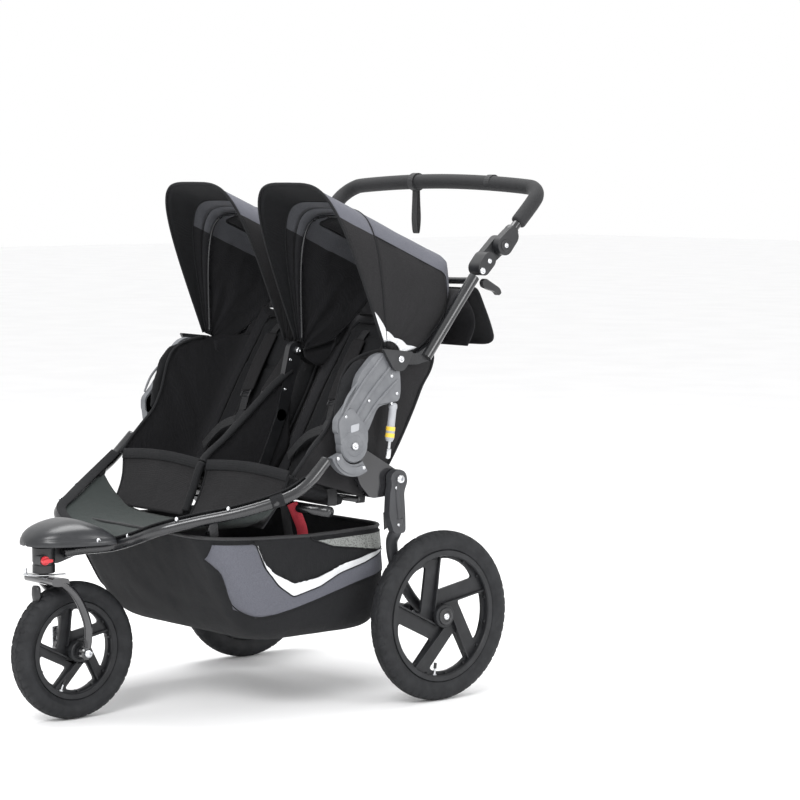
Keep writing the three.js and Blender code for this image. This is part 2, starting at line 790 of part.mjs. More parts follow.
/** The cargo basket: a bag with a wide open top under the seats. */
function basket() {
  // half width, front Y, rear Y and height of each level
  const levels = [
    [250, -440, -110, 168],
    [280, -478, -86, 196],
    [292, -540, -80, 300],
    [290, -592, -84, 398],
  ];
  const outer = levels.map((level) => basketRing(level, 0));
  const [bottom, ...upper] = levels;
  const raised = [...bottom.slice(0, 3), bottom[3] + BASKET_WALL];
  const top = [...levels[3].slice(0, 3), levels[3][3] + 8];
  const inner = [raised, ...upper.slice(0, 2), top].map((level) => basketRing(level, BASKET_WALL));
  return cut(loft(outer), loft(inner));
}
add('basket', basket(), fabric);

const POCKET_HALF = 318;

/** The storage pocket that hangs behind the seats from the crossbar. */
add('rear_pocket', plate([
  [146, 936], [156, 938], [200, 850], [206, 806], [192, 798], [176, 806], [164, 850],
], [-POCKET_HALF, POCKET_HALF]), fabric);

export default stroller;
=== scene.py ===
"""Looks for the double jogging stroller: the sewn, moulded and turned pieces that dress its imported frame."""
import math

import bmesh
import bpy
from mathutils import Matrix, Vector, bvhtree, geometry, noise


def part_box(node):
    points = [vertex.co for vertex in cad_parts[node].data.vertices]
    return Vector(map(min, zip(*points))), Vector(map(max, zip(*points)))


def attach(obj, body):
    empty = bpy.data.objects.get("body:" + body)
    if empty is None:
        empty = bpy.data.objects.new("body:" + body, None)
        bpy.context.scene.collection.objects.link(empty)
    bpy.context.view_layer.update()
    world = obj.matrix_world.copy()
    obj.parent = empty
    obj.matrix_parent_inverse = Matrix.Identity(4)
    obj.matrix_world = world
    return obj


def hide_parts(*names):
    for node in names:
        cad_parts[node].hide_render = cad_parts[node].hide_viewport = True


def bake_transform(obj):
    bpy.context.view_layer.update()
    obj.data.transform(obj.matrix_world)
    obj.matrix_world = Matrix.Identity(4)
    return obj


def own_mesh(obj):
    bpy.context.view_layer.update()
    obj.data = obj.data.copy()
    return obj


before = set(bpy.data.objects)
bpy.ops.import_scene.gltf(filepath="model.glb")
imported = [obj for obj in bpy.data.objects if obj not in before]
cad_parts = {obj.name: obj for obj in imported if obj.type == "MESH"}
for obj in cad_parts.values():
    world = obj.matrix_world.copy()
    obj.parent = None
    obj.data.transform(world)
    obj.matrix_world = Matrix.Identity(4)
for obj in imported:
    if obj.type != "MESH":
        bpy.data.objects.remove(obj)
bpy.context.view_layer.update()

MM = 0.001
SIDES = (("left", 1), ("right", -1))


def centre(node):
    low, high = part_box(node)
    return (low + high) / 2


GROUND = Vector((0, centre("rear_axle").y, 0))   # on the ground, under the rear axle


def at(x, y, z):
    """A place in millimetres from the point on the ground under the rear axle."""
    return GROUND + Vector((x, y, z)) * MM


# ---------------------------------------------------------------- materials

def blank(name, colour, roughness, **sockets):
    """A material whose constants sit straight on its shader's sockets."""
    material = bpy.data.materials.new(name)
    material.use_nodes = True
    shader = material.node_tree.nodes["Principled BSDF"]
    shader.inputs["Base Color"].default_value = (*colour, 1)
    shader.inputs["Roughness"].default_value = roughness
    for socket, value in sockets.items():
        shader.inputs[socket.replace("_", " ")].default_value = value
    return material


def node(material, kind, settings=(), **inputs):
    made = material.node_tree.nodes.new(kind)
    for key, value in dict(settings).items():
        setattr(made, key, value)
    for key, value in inputs.items():
        made.inputs[key.replace("_", " ")].default_value = value
    return made


def link(material, output, target):
    material.node_tree.links.new(output, target)


def places(material, stretch=(1, 1, 1)):
    """Object coordinates in metres, stretched along each axis."""
    coordinates = node(material, "ShaderNodeTexCoord")
    mapping = node(material, "ShaderNodeMapping", Scale=stretch)
    link(material, coordinates.outputs["Object"], mapping.inputs["Vector"])
    return mapping.outputs["Vector"]


def speckle(material, size_mm, detail=3, stretch=(1, 1, 1)):
    """Noise whose lumps are about size_mm across."""
    made = node(material, "ShaderNodeTexNoise", Scale=1 / (size_mm * MM), Detail=detail)
    link(material, places(material, stretch), made.inputs["Vector"])
    return made.outputs["Fac"]


def tint(material, colour, other, factor, low=0.35, high=0.65):
    """The base colour drifts between two colours as factor goes from low to high."""
    ramp = node(material, "ShaderNodeValToRGB")
    ramp.color_ramp.elements[0].position = low
    ramp.color_ramp.elements[0].color = (*colour, 1)
    ramp.color_ramp.elements[1].position = high
    ramp.color_ramp.elements[1].color = (*other, 1)
    link(material, factor, ramp.inputs["Fac"])
    shader = material.node_tree.nodes["Principled BSDF"]
    link(material, ramp.outputs["Color"], shader.inputs["Base Color"])


def sheen_spread(material, factor, low, high):
    """Roughness varies from low to high with factor."""
    spread = node(material, "ShaderNodeMapRange", **{"To_Min": low, "To_Max": high})
    link(material, factor, spread.inputs["Value"])
    shader = material.node_tree.nodes["Principled BSDF"]
    link(material, spread.outputs["Result"], shader.inputs["Roughness"])


def relief(material, height, depth_mm, strength=1.0):
    """One more layer of bump, depth_mm deep."""
    shader = material.node_tree.nodes["Principled BSDF"]
    bump = node(material, "ShaderNodeBump", Strength=strength, Distance=depth_mm * MM)
    link(material, height, bump.inputs["Height"])
    before = shader.inputs["Normal"].links
    if before:
        link(material, before[0].from_socket, bump.inputs["Normal"])
    link(material, bump.outputs["Normal"], shader.inputs["Normal"])


def yarns(material, pitch_mm):
    """Crossed threads, pitch_mm apart, whichever way the cloth faces."""
    total = None
    for direction in "XYZ":
        wave = node(material, "ShaderNodeTexWave", {"bands_direction": direction},
                    Scale=0.314 / (pitch_mm * MM), Distortion=0.8, Detail=1.0)
        link(material, places(material), wave.inputs["Vector"])
        if total is None:
            total = wave.outputs["Fac"]
            continue
        add = node(material, "ShaderNodeMath", {"operation": "ADD"})
        link(material, total, add.inputs[0])
        link(material, wave.outputs["Fac"], add.inputs[1])
        total = add.outputs["Value"]
    return total


def cloth(name, colour, fleck, pitch_mm=1.6, sheen=0.35, roughness=0.85, crease_mm=1.6):
    """Woven polyester: threads, flecks of lighter yarn, soft creases."""
    material = blank(name, colour, roughness, Sheen_Weight=sheen, Sheen_Roughness=0.4, Specular_IOR_Level=0.2)
    tint(material, colour, fleck, speckle(material, 2.4, 6, (1, 1, 2.2)))
    relief(material, speckle(material, 38, 2, (1, 1, 0.5)), crease_mm * 2, 0.55)
    relief(material, speckle(material, 9, 3), crease_mm * 0.35, 0.6)
    relief(material, yarns(material, pitch_mm), 0.28, 0.7)
    return material


def moulded(name, colour, worn, roughness, grain_mm=0.9, **sockets):
    """Moulded plastic or rubber: fine grain, slightly uneven gloss."""
    material = blank(name, colour, roughness, **sockets)
    tint(material, colour, worn, speckle(material, 26, 5), 0.4, 0.75)
    sheen_spread(material, speckle(material, 14, 4), roughness - 0.08, roughness + 0.1)
    relief(material, speckle(material, grain_mm, 2), 0.06, 0.5)
    return material


def coated(name, colour, roughness, metallic, coat=0.4):
    """Powder-coated metal with a slight orange peel."""
    material = blank(name, colour, roughness, Metallic=metallic, Coat_Weight=coat, Coat_Roughness=0.15)
    tint(material, colour, tuple(1.5 * c for c in colour), speckle(material, 60, 3), 0.35, 0.8)
    sheen_spread(material, speckle(material, 18, 3), roughness - 0.04, roughness + 0.08)
    relief(material, speckle(material, 1.8, 2), 0.05, 0.4)
    return material


def steel():
    material = blank("bright_steel", (0.62, 0.63, 0.65), 0.25, Metallic=1.0)
    tint(material, (0.55, 0.56, 0.58), (0.72, 0.73, 0.75), speckle(material, 4, 3, (8, 1, 1)))
    sheen_spread(material, speckle(material, 2, 2, (12, 1, 1)), 0.18, 0.34)
    return material


def sponge():
    """Closed-cell grip foam: matt, finely pitted."""
    material = blank("foam", (0.011, 0.0115, 0.0125), 0.85, Sheen_Weight=0.04)
    tint(material, (0.009, 0.0095, 0.0105), (0.017, 0.0175, 0.019), speckle(material, 3, 4))
    relief(material, speckle(material, 1.4, 4), 0.25, 0.8)
    relief(material, speckle(material, 22, 2), 0.5, 0.4)
    return material


def ribbed_tape(name, colour, fleck):
    """Webbing: fine cross ribs."""
    material = blank(name, colour, 0.6, Sheen_Weight=0.05)
    tint(material, colour, fleck, speckle(material, 1.6, 3))
    relief(material, yarns(material, 2.2), 0.4, 0.9)
    return material


def knitted_mesh(name):
    """Pale open mesh: rows of small dark holes."""
    material = blank(name, (0.16, 0.17, 0.16), 0.7, Sheen_Weight=0.1)
    cells = node(material, "ShaderNodeTexVoronoi", Scale=1 / (3.2 * MM))
    link(material, places(material), cells.inputs["Vector"])
    tint(material, (0.012, 0.013, 0.012), (0.22, 0.23, 0.22), cells.outputs["Distance"], 0.15, 0.5)
    relief(material, cells.outputs["Distance"], 0.5)
    return material


def reflective():
    material = blank("reflective_fabric", (0.66, 0.67, 0.69), 0.42, Metallic=0.35, Sheen_Weight=0.2)
    tint(material, (0.6, 0.61, 0.64), (0.76, 0.77, 0.78), speckle(material, 1.2, 3))
    relief(material, speckle(material, 16, 3, (1, 1, 0.6)), 1.6, 0.8)
    return material


LOOKS = {
    "tire_rubber": moulded("tire_rubber", (0.012, 0.0125, 0.014), (0.021, 0.022, 0.024), 0.65, 1.2,
                           Specular_IOR_Level=0.25),
    "wheel_plastic": moulded("wheel_plastic", (0.012, 0.0125, 0.014), (0.019, 0.02, 0.022), 0.45,
                             Specular_IOR_Level=0.3),
    "black_plastic": moulded("black_plastic", (0.012, 0.0125, 0.014), (0.02, 0.0205, 0.0225), 0.4),
    "grey_plastic": moulded("grey_plastic", (0.115, 0.12, 0.13), (0.15, 0.155, 0.165), 0.45),
    "gloss_black": coated("gloss_black", (0.016, 0.016, 0.018), 0.14, 0.2, 1.0),
    "frame_black": coated("frame_black", (0.01, 0.0105, 0.012), 0.26, 0.3, 0.6),
    "cast_grey": coated("cast_grey", (0.026, 0.027, 0.03), 0.45, 0.15, 0.1),
    "bright_steel": steel(),
    "foam": sponge(),
    "black_fabric": cloth("black_fabric", (0.0085, 0.0087, 0.0098), (0.0155, 0.016, 0.0175), 1.6, 0.03),
    "grey_fabric": cloth("grey_fabric", (0.088, 0.09, 0.108), (0.122, 0.125, 0.146), 1.4, 0.06),
    "reflective_fabric": reflective(),
    "mesh_fabric": knitted_mesh("mesh_fabric"),
    "webbing": ribbed_tape("webbing", (0.01, 0.0102, 0.0115), (0.018, 0.0185, 0.0205)),
    "red_plastic": moulded("red_plastic", (0.5, 0.02, 0.03), (0.6, 0.04, 0.05), 0.32),
}
CHARCOAL = cloth("charcoal_fabric", (0.0125, 0.0122, 0.013), (0.021, 0.0205, 0.022), 1.6, 0.03)
LINING = cloth("lining_fabric", (0.014, 0.014, 0.0155), (0.023, 0.023, 0.0255), 1.2, 0.04)
GREY_LINING = cloth("grey_lining", (0.075, 0.077, 0.086), (0.1, 0.103, 0.114), 1.2, 0.06)
FLOOR_CLOTH = cloth("footwell_fabric", (0.022, 0.027, 0.026), (0.038, 0.046, 0.044), 1.8, 0.06)
RED_TAPE = ribbed_tape("red_tape", (0.42, 0.02, 0.04), (0.55, 0.04, 0.06))
YELLOW = moulded("yellow_mark", (0.75, 0.5, 0.05), (0.8, 0.56, 0.08), 0.4)
PALE_GREY = moulded("pale_grey_plastic", (0.32, 0.33, 0.35), (0.38, 0.39, 0.41), 0.4)


# ---------------------------------------------------------------- shapes: (corners, faces)

def combine(*shapes):
    corners, faces = [], []
    for points, polygons in shapes:
        start = len(corners)
        corners += points
        faces += [tuple(start + i for i in polygon) for polygon in polygons]
    return corners, faces


def smooth_line(points, steps=8, loop=False):
    """Points along a smooth curve through the given ones."""
    count = len(points)
    at_index = (lambda i: points[i % count]) if loop else (lambda i: points[min(max(i, 0), count - 1)])
    line = []
    for i in range(count if loop else count - 1):
        a, b, c, d = at_index(i - 1), at_index(i), at_index(i + 1), at_index(i + 2)
        for step in range(steps):
            t = step / steps
            line.append(0.5 * (2 * b + (c - a) * t + (2 * a - 5 * b + 4 * c - d) * t * t
                               + (3 * b - a - 3 * c + d) * t * t * t))
    return line if loop else line + [points[-1].copy()]


def loft(rings, ends=True, loop=False):
    """A skin through closed rings of points."""
    count, total = len(rings[0]), len(rings)
    corners = [point for ring in rings for point in ring]
    faces = []
    for r in range(total if loop else total - 1):
        for i in range(count):
            a, b = r * count, ((r + 1) % total) * count
            j = (i + 1) % count
            faces.append((a + i, a + j, b + j, b + i))
    if ends and not loop:
        faces.append(tuple(reversed(range(count))))
        faces.append(tuple((total - 1) * count + i for i in range(count)))
    return corners, faces


def grid(rows):
    """An open skin through rows of points."""
    count = len(rows[0])
    faces = []
    for r in range(len(rows) - 1):
        for i in range(count - 1):
            a = r * count + i
            faces.append((a, a + 1, a + count + 1, a + count))
    return [point for row in rows for point in row], faces


def rings_along(line, section, up=None, loop=False, swell=None):
    """A section's points carried along a line; up keeps a flat section from twisting."""
    count = len(line)
    rings, across = [], None
    for i, point in enumerate(line):
        before = line[(i - 1) % count] if loop or i else point
        after = line[(i + 1) % count] if loop or i < count - 1 else point
        forward = (after - before).normalized()
        if up is not None:
            across = forward.cross(up).normalized()
        elif across is None:
            across = forward.orthogonal().normalized()
        else:
            across = (across - forward * across.dot(forward)).normalized()
        lift = across.cross(forward)
        size = swell(i / (count - 1)) if swell else 1
        rings.append([point + (across * a + lift * b) * size * MM for a, b in section])
    return rings


def angles(count):
    """Evenly spaced angles of one whole turn, in radians."""
    return [2 * math.pi * i / count for i in range(count)]


def circle(radius, sides, squash=1.0):
    return [(radius * math.cos(a), radius * squash * math.sin(a)) for a in angles(sides)]


def tube(points, radius, sides=20, steps=8, squash=1.0, loop=False, up=None, swell=None):
    line = smooth_line(points, steps, loop)
    return loft(rings_along(line, circle(radius, sides, squash), up, loop, swell), loop=loop)


def strap(points, width, thickness, up, steps=8, loop=False):
    """Flat webbing with slightly rounded edges; up is the way its face looks."""
    w, t = width / 2, thickness / 2
    section = [(-w, -t * 0.5), (-w + t, -t), (w - t, -t), (w, -t * 0.5),
               (w, t * 0.5), (w - t, t), (-w + t, t), (-w, t * 0.5)]
    return loft(rings_along(smooth_line(points, steps, loop), section, up, loop), loop=loop)


def turned(middle, profile, sides=64, wobble=None):
    """A body turned about an axle along X; the profile is [radius, x] in millimetres."""
    rings = []
    for angle in angles(sides):
        ring = []
        for radius, x in profile:
            r = radius + (wobble(radius, x, angle) if wobble else 0)
            ring.append(middle + Vector((x, r * math.cos(angle), r * math.sin(angle))) * MM)
        rings.append(ring)
    return loft(rings, loop=True)


def rounded(outline, radius, steps=5):
    """An outline with each corner rounded off."""
    points = [Vector(p) for p in outline]
    result = []
    for i, corner in enumerate(points):
        back, on = points[i - 1] - corner, points[(i + 1) % len(points)] - corner
        reach = min(radius, back.length * 0.45, on.length * 0.45)
        start, end = corner + back.normalized() * reach, corner + on.normalized() * reach
        for step in range(steps + 1):
            t = step / steps
            result.append(start * (1 - t) ** 2 + corner * 2 * t * (1 - t) + end * t * t)
    return result


def slab(outline, x0, x1, holes=(), sign=1, origin=None):
    """A flat piece: an outline in Y and Z (millimetres) from one X to another."""
    loops = [[Vector(p) for p in outline], *[[Vector(p) for p in hole] for hole in holes]]
    flat = [Vector((p.x, p.y, 0)) for loop in loops for p in loop]
    count = len(flat)
    triangles = geometry.tessellate_polygon([[Vector((p.x, p.y, 0)) for p in loop] for loop in loops])
    base = origin if origin is not None else at(0, 0, 0)
    corners = [base + Vector((sign * x, p.x, p.y)) * MM for x in (x0, x1) for p in flat]
    faces = [tuple(t) for t in triangles] + [tuple(count + i for i in reversed(t)) for t in triangles]
    start = 0
    for loop in loops:
        size = len(loop)
        for i in range(size):
            a, b = start + i, start + (i + 1) % size
            faces.append((a, b, b + count, a + count))
        start += size
    return corners, faces


def lobe(first, r0, second, r1, steps=14):
    """An outline round two circles, in Y and Z."""
    a, b = Vector(first), Vector(second)
    along = math.atan2(b.y - a.y, b.x - a.x)
    lean = math.acos((r0 - r1) / (b - a).length)
    points = []
    for middle, radius, low, high in ((b, r1, along - lean, along + lean),
                                      (a, r0, along + lean, along - lean + 2 * math.pi)):
        for i in range(steps + 1):
            angle = low + (high - low) * i / steps
            points.append(middle + Vector((math.cos(angle), math.sin(angle))) * radius)
    return points


def disc(middle, radius, x0, x1, rim=1.2, sides=40):
    """A round boss along X with softened edges."""
    low, high = min(x0, x1), max(x0, x1)
    return turned(middle, [(0, low), (radius - rim, low), (radius, low + rim), (radius, high - rim),
                           (radius - rim, high), (0, high)], sides)


def bolt(middle, radius, height, sign=1):
    """A domed cap screw with a hexagon socket, its head towards sign X."""
    profile = [(0, 0), (radius, 0), (radius, 0.45 * height), (0.86 * radius, 0.82 * height),
               (0.6 * radius, height), (0.42 * radius, height), (0.38 * radius, 0.4 * height),
               (0, 0.4 * height)]
    return turned(middle, [(r, sign * x) for r, x in profile], 24)


# ---------------------------------------------------------------- pieces

def make(name, shape, slot, body=None, replaces=(), edge=0, looks=None, zones=None, weld=True, sharp=None):
    """A named piece from a shape, with its look, its body and the CAD nodes it stands for."""
    corners, faces = shape
    mesh = bpy.data.meshes.new(name)
    mesh.from_pydata([tuple(c) for c in corners], [], faces)
    piece = bpy.data.objects.new(name, mesh)
    bpy.context.scene.collection.objects.link(piece)
    for look in looks or [LOOKS[slot]]:
        mesh.materials.append(look)
    if zones:
        for polygon, zone in zip(mesh.polygons, zones):
            polygon.material_index = zone
    if weld:
        tidy = bmesh.new()
        tidy.from_mesh(mesh)
        bmesh.ops.remove_doubles(tidy, verts=tidy.verts, dist=1e-6)
        bmesh.ops.dissolve_degenerate(tidy, dist=1e-7, edges=tidy.edges)
        bmesh.ops.recalc_face_normals(tidy, faces=tidy.faces)
        tidy.to_mesh(mesh)
        tidy.free()
    mesh.shade_smooth()
    if sharp:
        mesh.set_sharp_from_angle(angle=math.radians(sharp))
    if edge:
        bevel = piece.modifiers.new("softened_edges", "BEVEL")
        bevel.width = edge * MM
        bevel.segments = 3
        bevel.limit_method = "ANGLE"
        bevel.angle_limit = math.radians(35)
        bevel.harden_normals = True
    if replaces:
        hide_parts(*replaces)
    if body:
        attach(piece, body)
    return piece


def thicken(piece, thickness, inside=0):
    """Gives a cloth skin its thickness; inside is how far on in the looks its lining is."""
    shell = piece.modifiers.new("cloth", "SOLIDIFY")
    shell.thickness = thickness * MM
    shell.offset = -1
    shell.material_offset = inside


def flat_size(rows):
    """The width, length and area that a grid of points was cut to."""
    def run(line):
        return sum((b - a).length for a, b in zip(line, line[1:]))
    width = max(run(row) for row in rows)
    length = max(run(column) for column in zip(*rows))
    area = 0
    for low, high in zip(rows, rows[1:]):
        for a, b, c, d in zip(low, low[1:], high[1:], high):
            area += ((b - a).cross(c - a).length + (c - a).cross(d - a).length) / 2
    return width, length, area


LEAST_AREA, MOST_AREA = 0.31, 0.99       # shares of width by length


def declare(piece, rows, held="stretched", **rests):
    """Works out a sheet's flat size from its rows, its area held between shares of width by length; the result
    is not kept.
    """
    width, length, area = flat_size(rows)
    least, most = LEAST_AREA * width * length, MOST_AREA * width * length
    area = max(least, min(area, most))


def inflate(piece, cap_mm, voxel_mm=6, pressure=4.0):
    """Pads a closed piece: cloth under pressure, no point moving more than cap_mm."""
    remesh = piece.modifiers.new("remesh", "REMESH")
    remesh.mode = "VOXEL"
    remesh.voxel_size = voxel_mm * MM
    apply_modifiers(piece)
    rest = [v.co.copy() for v in piece.data.vertices]
    padding = piece.modifiers.new("padding", "CLOTH")
    padding.settings.use_pressure = True
    padding.settings.uniform_pressure_force = pressure
    padding.settings.effector_weights.gravity = 0
    for number in range(1, 21):
        bpy.context.scene.frame_set(number)
    puffed = piece.evaluated_get(bpy.context.evaluated_depsgraph_get())
    moved = [v.co.copy() for v in puffed.to_mesh().vertices]
    puffed.to_mesh_clear()
    piece.modifiers.clear()
    for vertex, start, end in zip(piece.data.vertices, rest, moved):
        step = end - start
        if step.length > cap_mm * MM:
            step *= cap_mm * MM / step.length
        vertex.co = start + step
    bpy.context.scene.frame_set(1)
    piece.data.shade_smooth()


def apply_modifiers(piece):
    """Replaces the piece's mesh with what its modifiers make of it."""
    graph = bpy.context.evaluated_depsgraph_get()
    final = bpy.data.meshes.new_from_object(piece.evaluated_get(graph))
    piece.modifiers.clear()
    piece.data = final
    final.shade_smooth()


def subdivide(piece):
    smooth = piece.modifiers.new("smooth", "SUBSURF")
    smooth.levels = 1
    smooth.render_levels = 1


# ---------------------------------------------------------------- wheels

TYRE_HEIGHT = 43
SPOKES = 5


def tyre(middle, radius, width, blocks):
    """An air tyre: smooth sidewalls with a raised line, and a grooved tread."""
    half = width / 2
    corners = [(radius - TYRE_HEIGHT, -half * 0.62), (radius - 31, -half * 0.93), (radius - 18, -half),
               (radius - 7, -half * 0.8), (radius - 1.2, -half * 0.42), (radius, 0),
               (radius - 1.2, half * 0.42), (radius - 7, half * 0.8), (radius - 18, half),
               (radius - 31, half * 0.93), (radius - TYRE_HEIGHT, half * 0.62)]
    line = smooth_line([Vector((r, x, 0)) for r, x in corners], 6)
    profile = [(p.x, p.y) for p in line]

    def tread(r, x, angle):
        share = abs(x) / half
        turn = angle * blocks / (2 * math.pi)
        depth = 0.0
        if r > radius - 9:
            wave = 0.08 * math.sin(turn * 2 * math.pi)
            side = 0.5 if x > 0 else 0
            if 0.26 < share + wave < 0.36:
                depth = 2.0
            elif share > 0.36 and (turn + side + 0.5 * share) % 1 < 0.2:
                depth = 2.4
            elif share < 0.2 and (turn * 2) % 1 < 0.18:
                depth = 1.4
        if radius - 15 < r < radius - 8 and (turn + 0.9 * share) % 1 < 0.3:
            depth = 0.9
        if abs(r - radius + 25) < 1.6 or abs(r - radius + 36) < 1.4:
            depth = -0.8
        return -depth

    return turned(middle, profile, 320, tread)


def window(inner):
    """The rounded opening between one spoke and the next, going clockwise."""
    corners = [(0.955, 9), (0.955, -4), (0.955, -18), (0.945, -31), (0.91, -44), (0.43, 20)]
    outline = []
    for share, turn in corners:
        angle = math.radians(turn)
        outline.append((share * inner * math.cos(angle), share * inner * math.sin(angle)))
    return rounded(outline, 11, 6)


def rim(middle, radius, hub_radius, hub_in, hub_out, sign):
    """A moulded wheel: channelled rim, a web with five openings, tall ribs on the spokes."""
    bead = radius - TYRE_HEIGHT - 0.5
    band = turned(middle, [(bead, -14), (bead, 14), (bead - 1.5, 16.5), (bead - 12, 16.5),
                           (bead - 14, 14), (bead - 14.5, -14), (bead - 12, -16.5),
                           (bead - 1.5, -16.5)], 160)
    inner = bead - 13.5
    outer = circle(inner, 120)
    first = math.radians(82)
    openings, ribs = [], []
    for k in range(SPOKES):
        turn = first + 2 * math.pi * k / SPOKES
        c, s = math.cos(turn), math.sin(turn)
        openings.append([(c * p.x - s * p.y, s * p.x + c * p.y) for p in window(inner)])
        offset, thick = hub_radius + 2, 2.4

        def spot(along, aside, x):
            y = c * along - s * (offset * (1 - 0.12 * along / inner) + aside)
            z = s * along + c * (offset * (1 - 0.12 * along / inner) + aside)
            return middle + Vector((sign * x, y, z)) * MM

        stations = [(8, 13), (40, 13), (0.7 * inner, 10), (inner - 1, 9)]
        ribs.append(loft([[spot(a, -thick, -x), spot(a, thick, -x), spot(a, thick * 0.8, x),
                           spot(a, -thick * 0.8, x)] for a, x in stations]))
    web = slab(outer, -3.5, 3.5, openings, sign, middle)
    profile = [(8, hub_in), (hub_radius, hub_in), (hub_radius, hub_out * 0.5),
               (hub_radius + 4, hub_out * 0.5 + 1), (hub_radius + 4, hub_out - 3),
               (hub_radius + 2, hub_out - 1), (hub_radius - 3, hub_out - 1), (hub_radius - 5, hub_out - 3),
               (hub_radius - 9, hub_out - 3), (hub_radius - 10, hub_out), (8, hub_out)]
    hub = turned(middle, [(r, sign * x) for r, x in profile], 72)
    notches = [disc(middle + Vector((0, (inner - 1.6) * math.cos(a), (inner - 1.6) * math.sin(a))) * MM,
                    3.4, -9, 9, 0.8, 12) for a in (math.radians(12 + 24 * n) for n in range(15))]
    return combine(band, web, hub, *ribs, *notches)


def valve(middle, radius, degrees, sign):
    """A steel valve stem with its nut, standing on the rim's well, and its black cap."""
    a = math.radians(degrees)
    outward = Vector((0, math.cos(a), math.sin(a)))
    well = middle + outward * (radius - TYRE_HEIGHT - 14) * MM + Vector((sign * 5, 0, 0)) * MM
    stem = tube([well, well - outward * 12 * MM, well - outward * 20 * MM], 2.7, 14, 2)
    nut = tube([well, well - outward * 4 * MM], 5, 6, 1)
    cap = tube([well - outward * 16 * MM, well - outward * 29 * MM], 3.6, 14, 3)
    return combine(stem, nut), cap


FRONT_RADIUS = 153
REAR_RADIUS = 195


def wheel(name, tyre_node, rim_node, radius, width, hub, body, sign, blocks, valve_at):
    """A wheel standing on the ground; hub is its radius and the X of its two ends."""
    middle = centre(tyre_node)
    middle.z = radius * MM
    make(f"{name}_tyre", tyre(middle, radius, width, blocks), "tire_rubber", body, [tyre_node])
    make(f"{name}_rim", rim(middle, radius, *hub, sign), "wheel_plastic", body, [rim_node], edge=0.9)
    stem, cap = valve(middle, radius, valve_at, sign)
    make(f"{name}_valve", stem, "bright_steel", body, sharp=40)
    make(f"{name}_valve_cap", cap, "black_plastic", body, sharp=40)


wheel("front_wheel", "front_tire", "front_rim", FRONT_RADIUS, 54, (20, -34, 34), "front_wheel", 1, 44, -112)
for side, sign in SIDES:
    wheel(f"rear_wheel_{side}", f"rear_tire_{side}", f"rear_rim_{side}", REAR_RADIUS, 46, (23, -37, 24),
          f"wheel_{side}", sign, 56, -98)
    hub_end = at(sign * 389, 0, REAR_RADIUS)
    cap = turned(hub_end, [(0, -sign * 1), (19, -sign * 1), (20, 0), (19, sign * 2), (13, sign * 3.2),
                           (12, sign * 1.8), (0, sign * 1.8)], 48)
    make(f"rear_hub_cap_{side}", cap, "black_plastic", f"wheel_{side}", sharp=40)
    make(f"rear_hub_button_{side}", bolt(at(sign * 390, 0, REAR_RADIUS), 8, 4, sign), "bright_steel",
         "rear_legs")

make("rear_axle_shaft", combine(
    tube([at(-390, 0, REAR_RADIUS), at(390, 0, REAR_RADIUS)], 6, 20, 1),
    tube([at(-299, 0, REAR_RADIUS), at(299, 0, REAR_RADIUS)], 12, 28, 1),
), "cast_grey", "rear_legs", ["rear_axle"], sharp=40)


# ---------------------------------------------------------------- front end

STEER_Y = -830
WHEELBASE = 757


def front_end():
    leg = [(46, STEER_Y + 12, 317), (52, STEER_Y + 49, 281), (52, STEER_Y + 76, 225),
           (52, STEER_Y + 79, 185), (52, -WHEELBASE, 150)]
    legs = []
    for _, sign in SIDES:
        legs.append(tube([at(sign * x, y, z) for x, y, z in leg], 9.5, 28, 10))
        legs.append(disc(at(0, -WHEELBASE, FRONT_RADIUS), 15, sign * 43, sign * 61, 3))
    crown = slab(rounded([(STEER_Y - 15, 309), (STEER_Y + 8, 306), (STEER_Y + 30, 308),
                          (STEER_Y + 30, 322), (STEER_Y + 10, 326), (STEER_Y - 15, 326)], 8), -56, 56)
    steerer = tube([at(0, STEER_Y, 320), at(0, STEER_Y, 372)], 11, 32, 1)
    make("fork_frame", combine(*legs, crown, steerer), "gloss_black", "front_fork", ["fork"],
         edge=2, sharp=50)
    make("front_axle_ends", combine(
        tube([at(-64, -WHEELBASE, FRONT_RADIUS), at(64, -WHEELBASE, FRONT_RADIUS)], 6, 20, 1),
        bolt(at(61, -WHEELBASE, FRONT_RADIUS), 10, 7, 1),
        bolt(at(-61, -WHEELBASE, FRONT_RADIUS), 10, 5, -1),
    ), "bright_steel", "front_fork", ["front_axle"], sharp=40)
    make("release_lever_blade", strap(
        [at(-69, -WHEELBASE, FRONT_RADIUS - 4), at(-70, -WHEELBASE, FRONT_RADIUS + 18),
         at(-69, -WHEELBASE - 1, FRONT_RADIUS + 44)], 15, 5, Vector((1, 0, 0))),
        "bright_steel", "quick_lever", ["front_release_lever"])
    front = STEER_Y - 20
    rings = [[at(14 * s * math.cos(a), front + 8 * math.sin(a) * s, 305 - z) for a in angles(20)]
             for z, s in ((0, 0.7), (6, 1), (22, 1.05), (32, 0.85), (37, 0.4))]
    make("fork_bumper", loft(rings), "black_plastic", "front_fork")


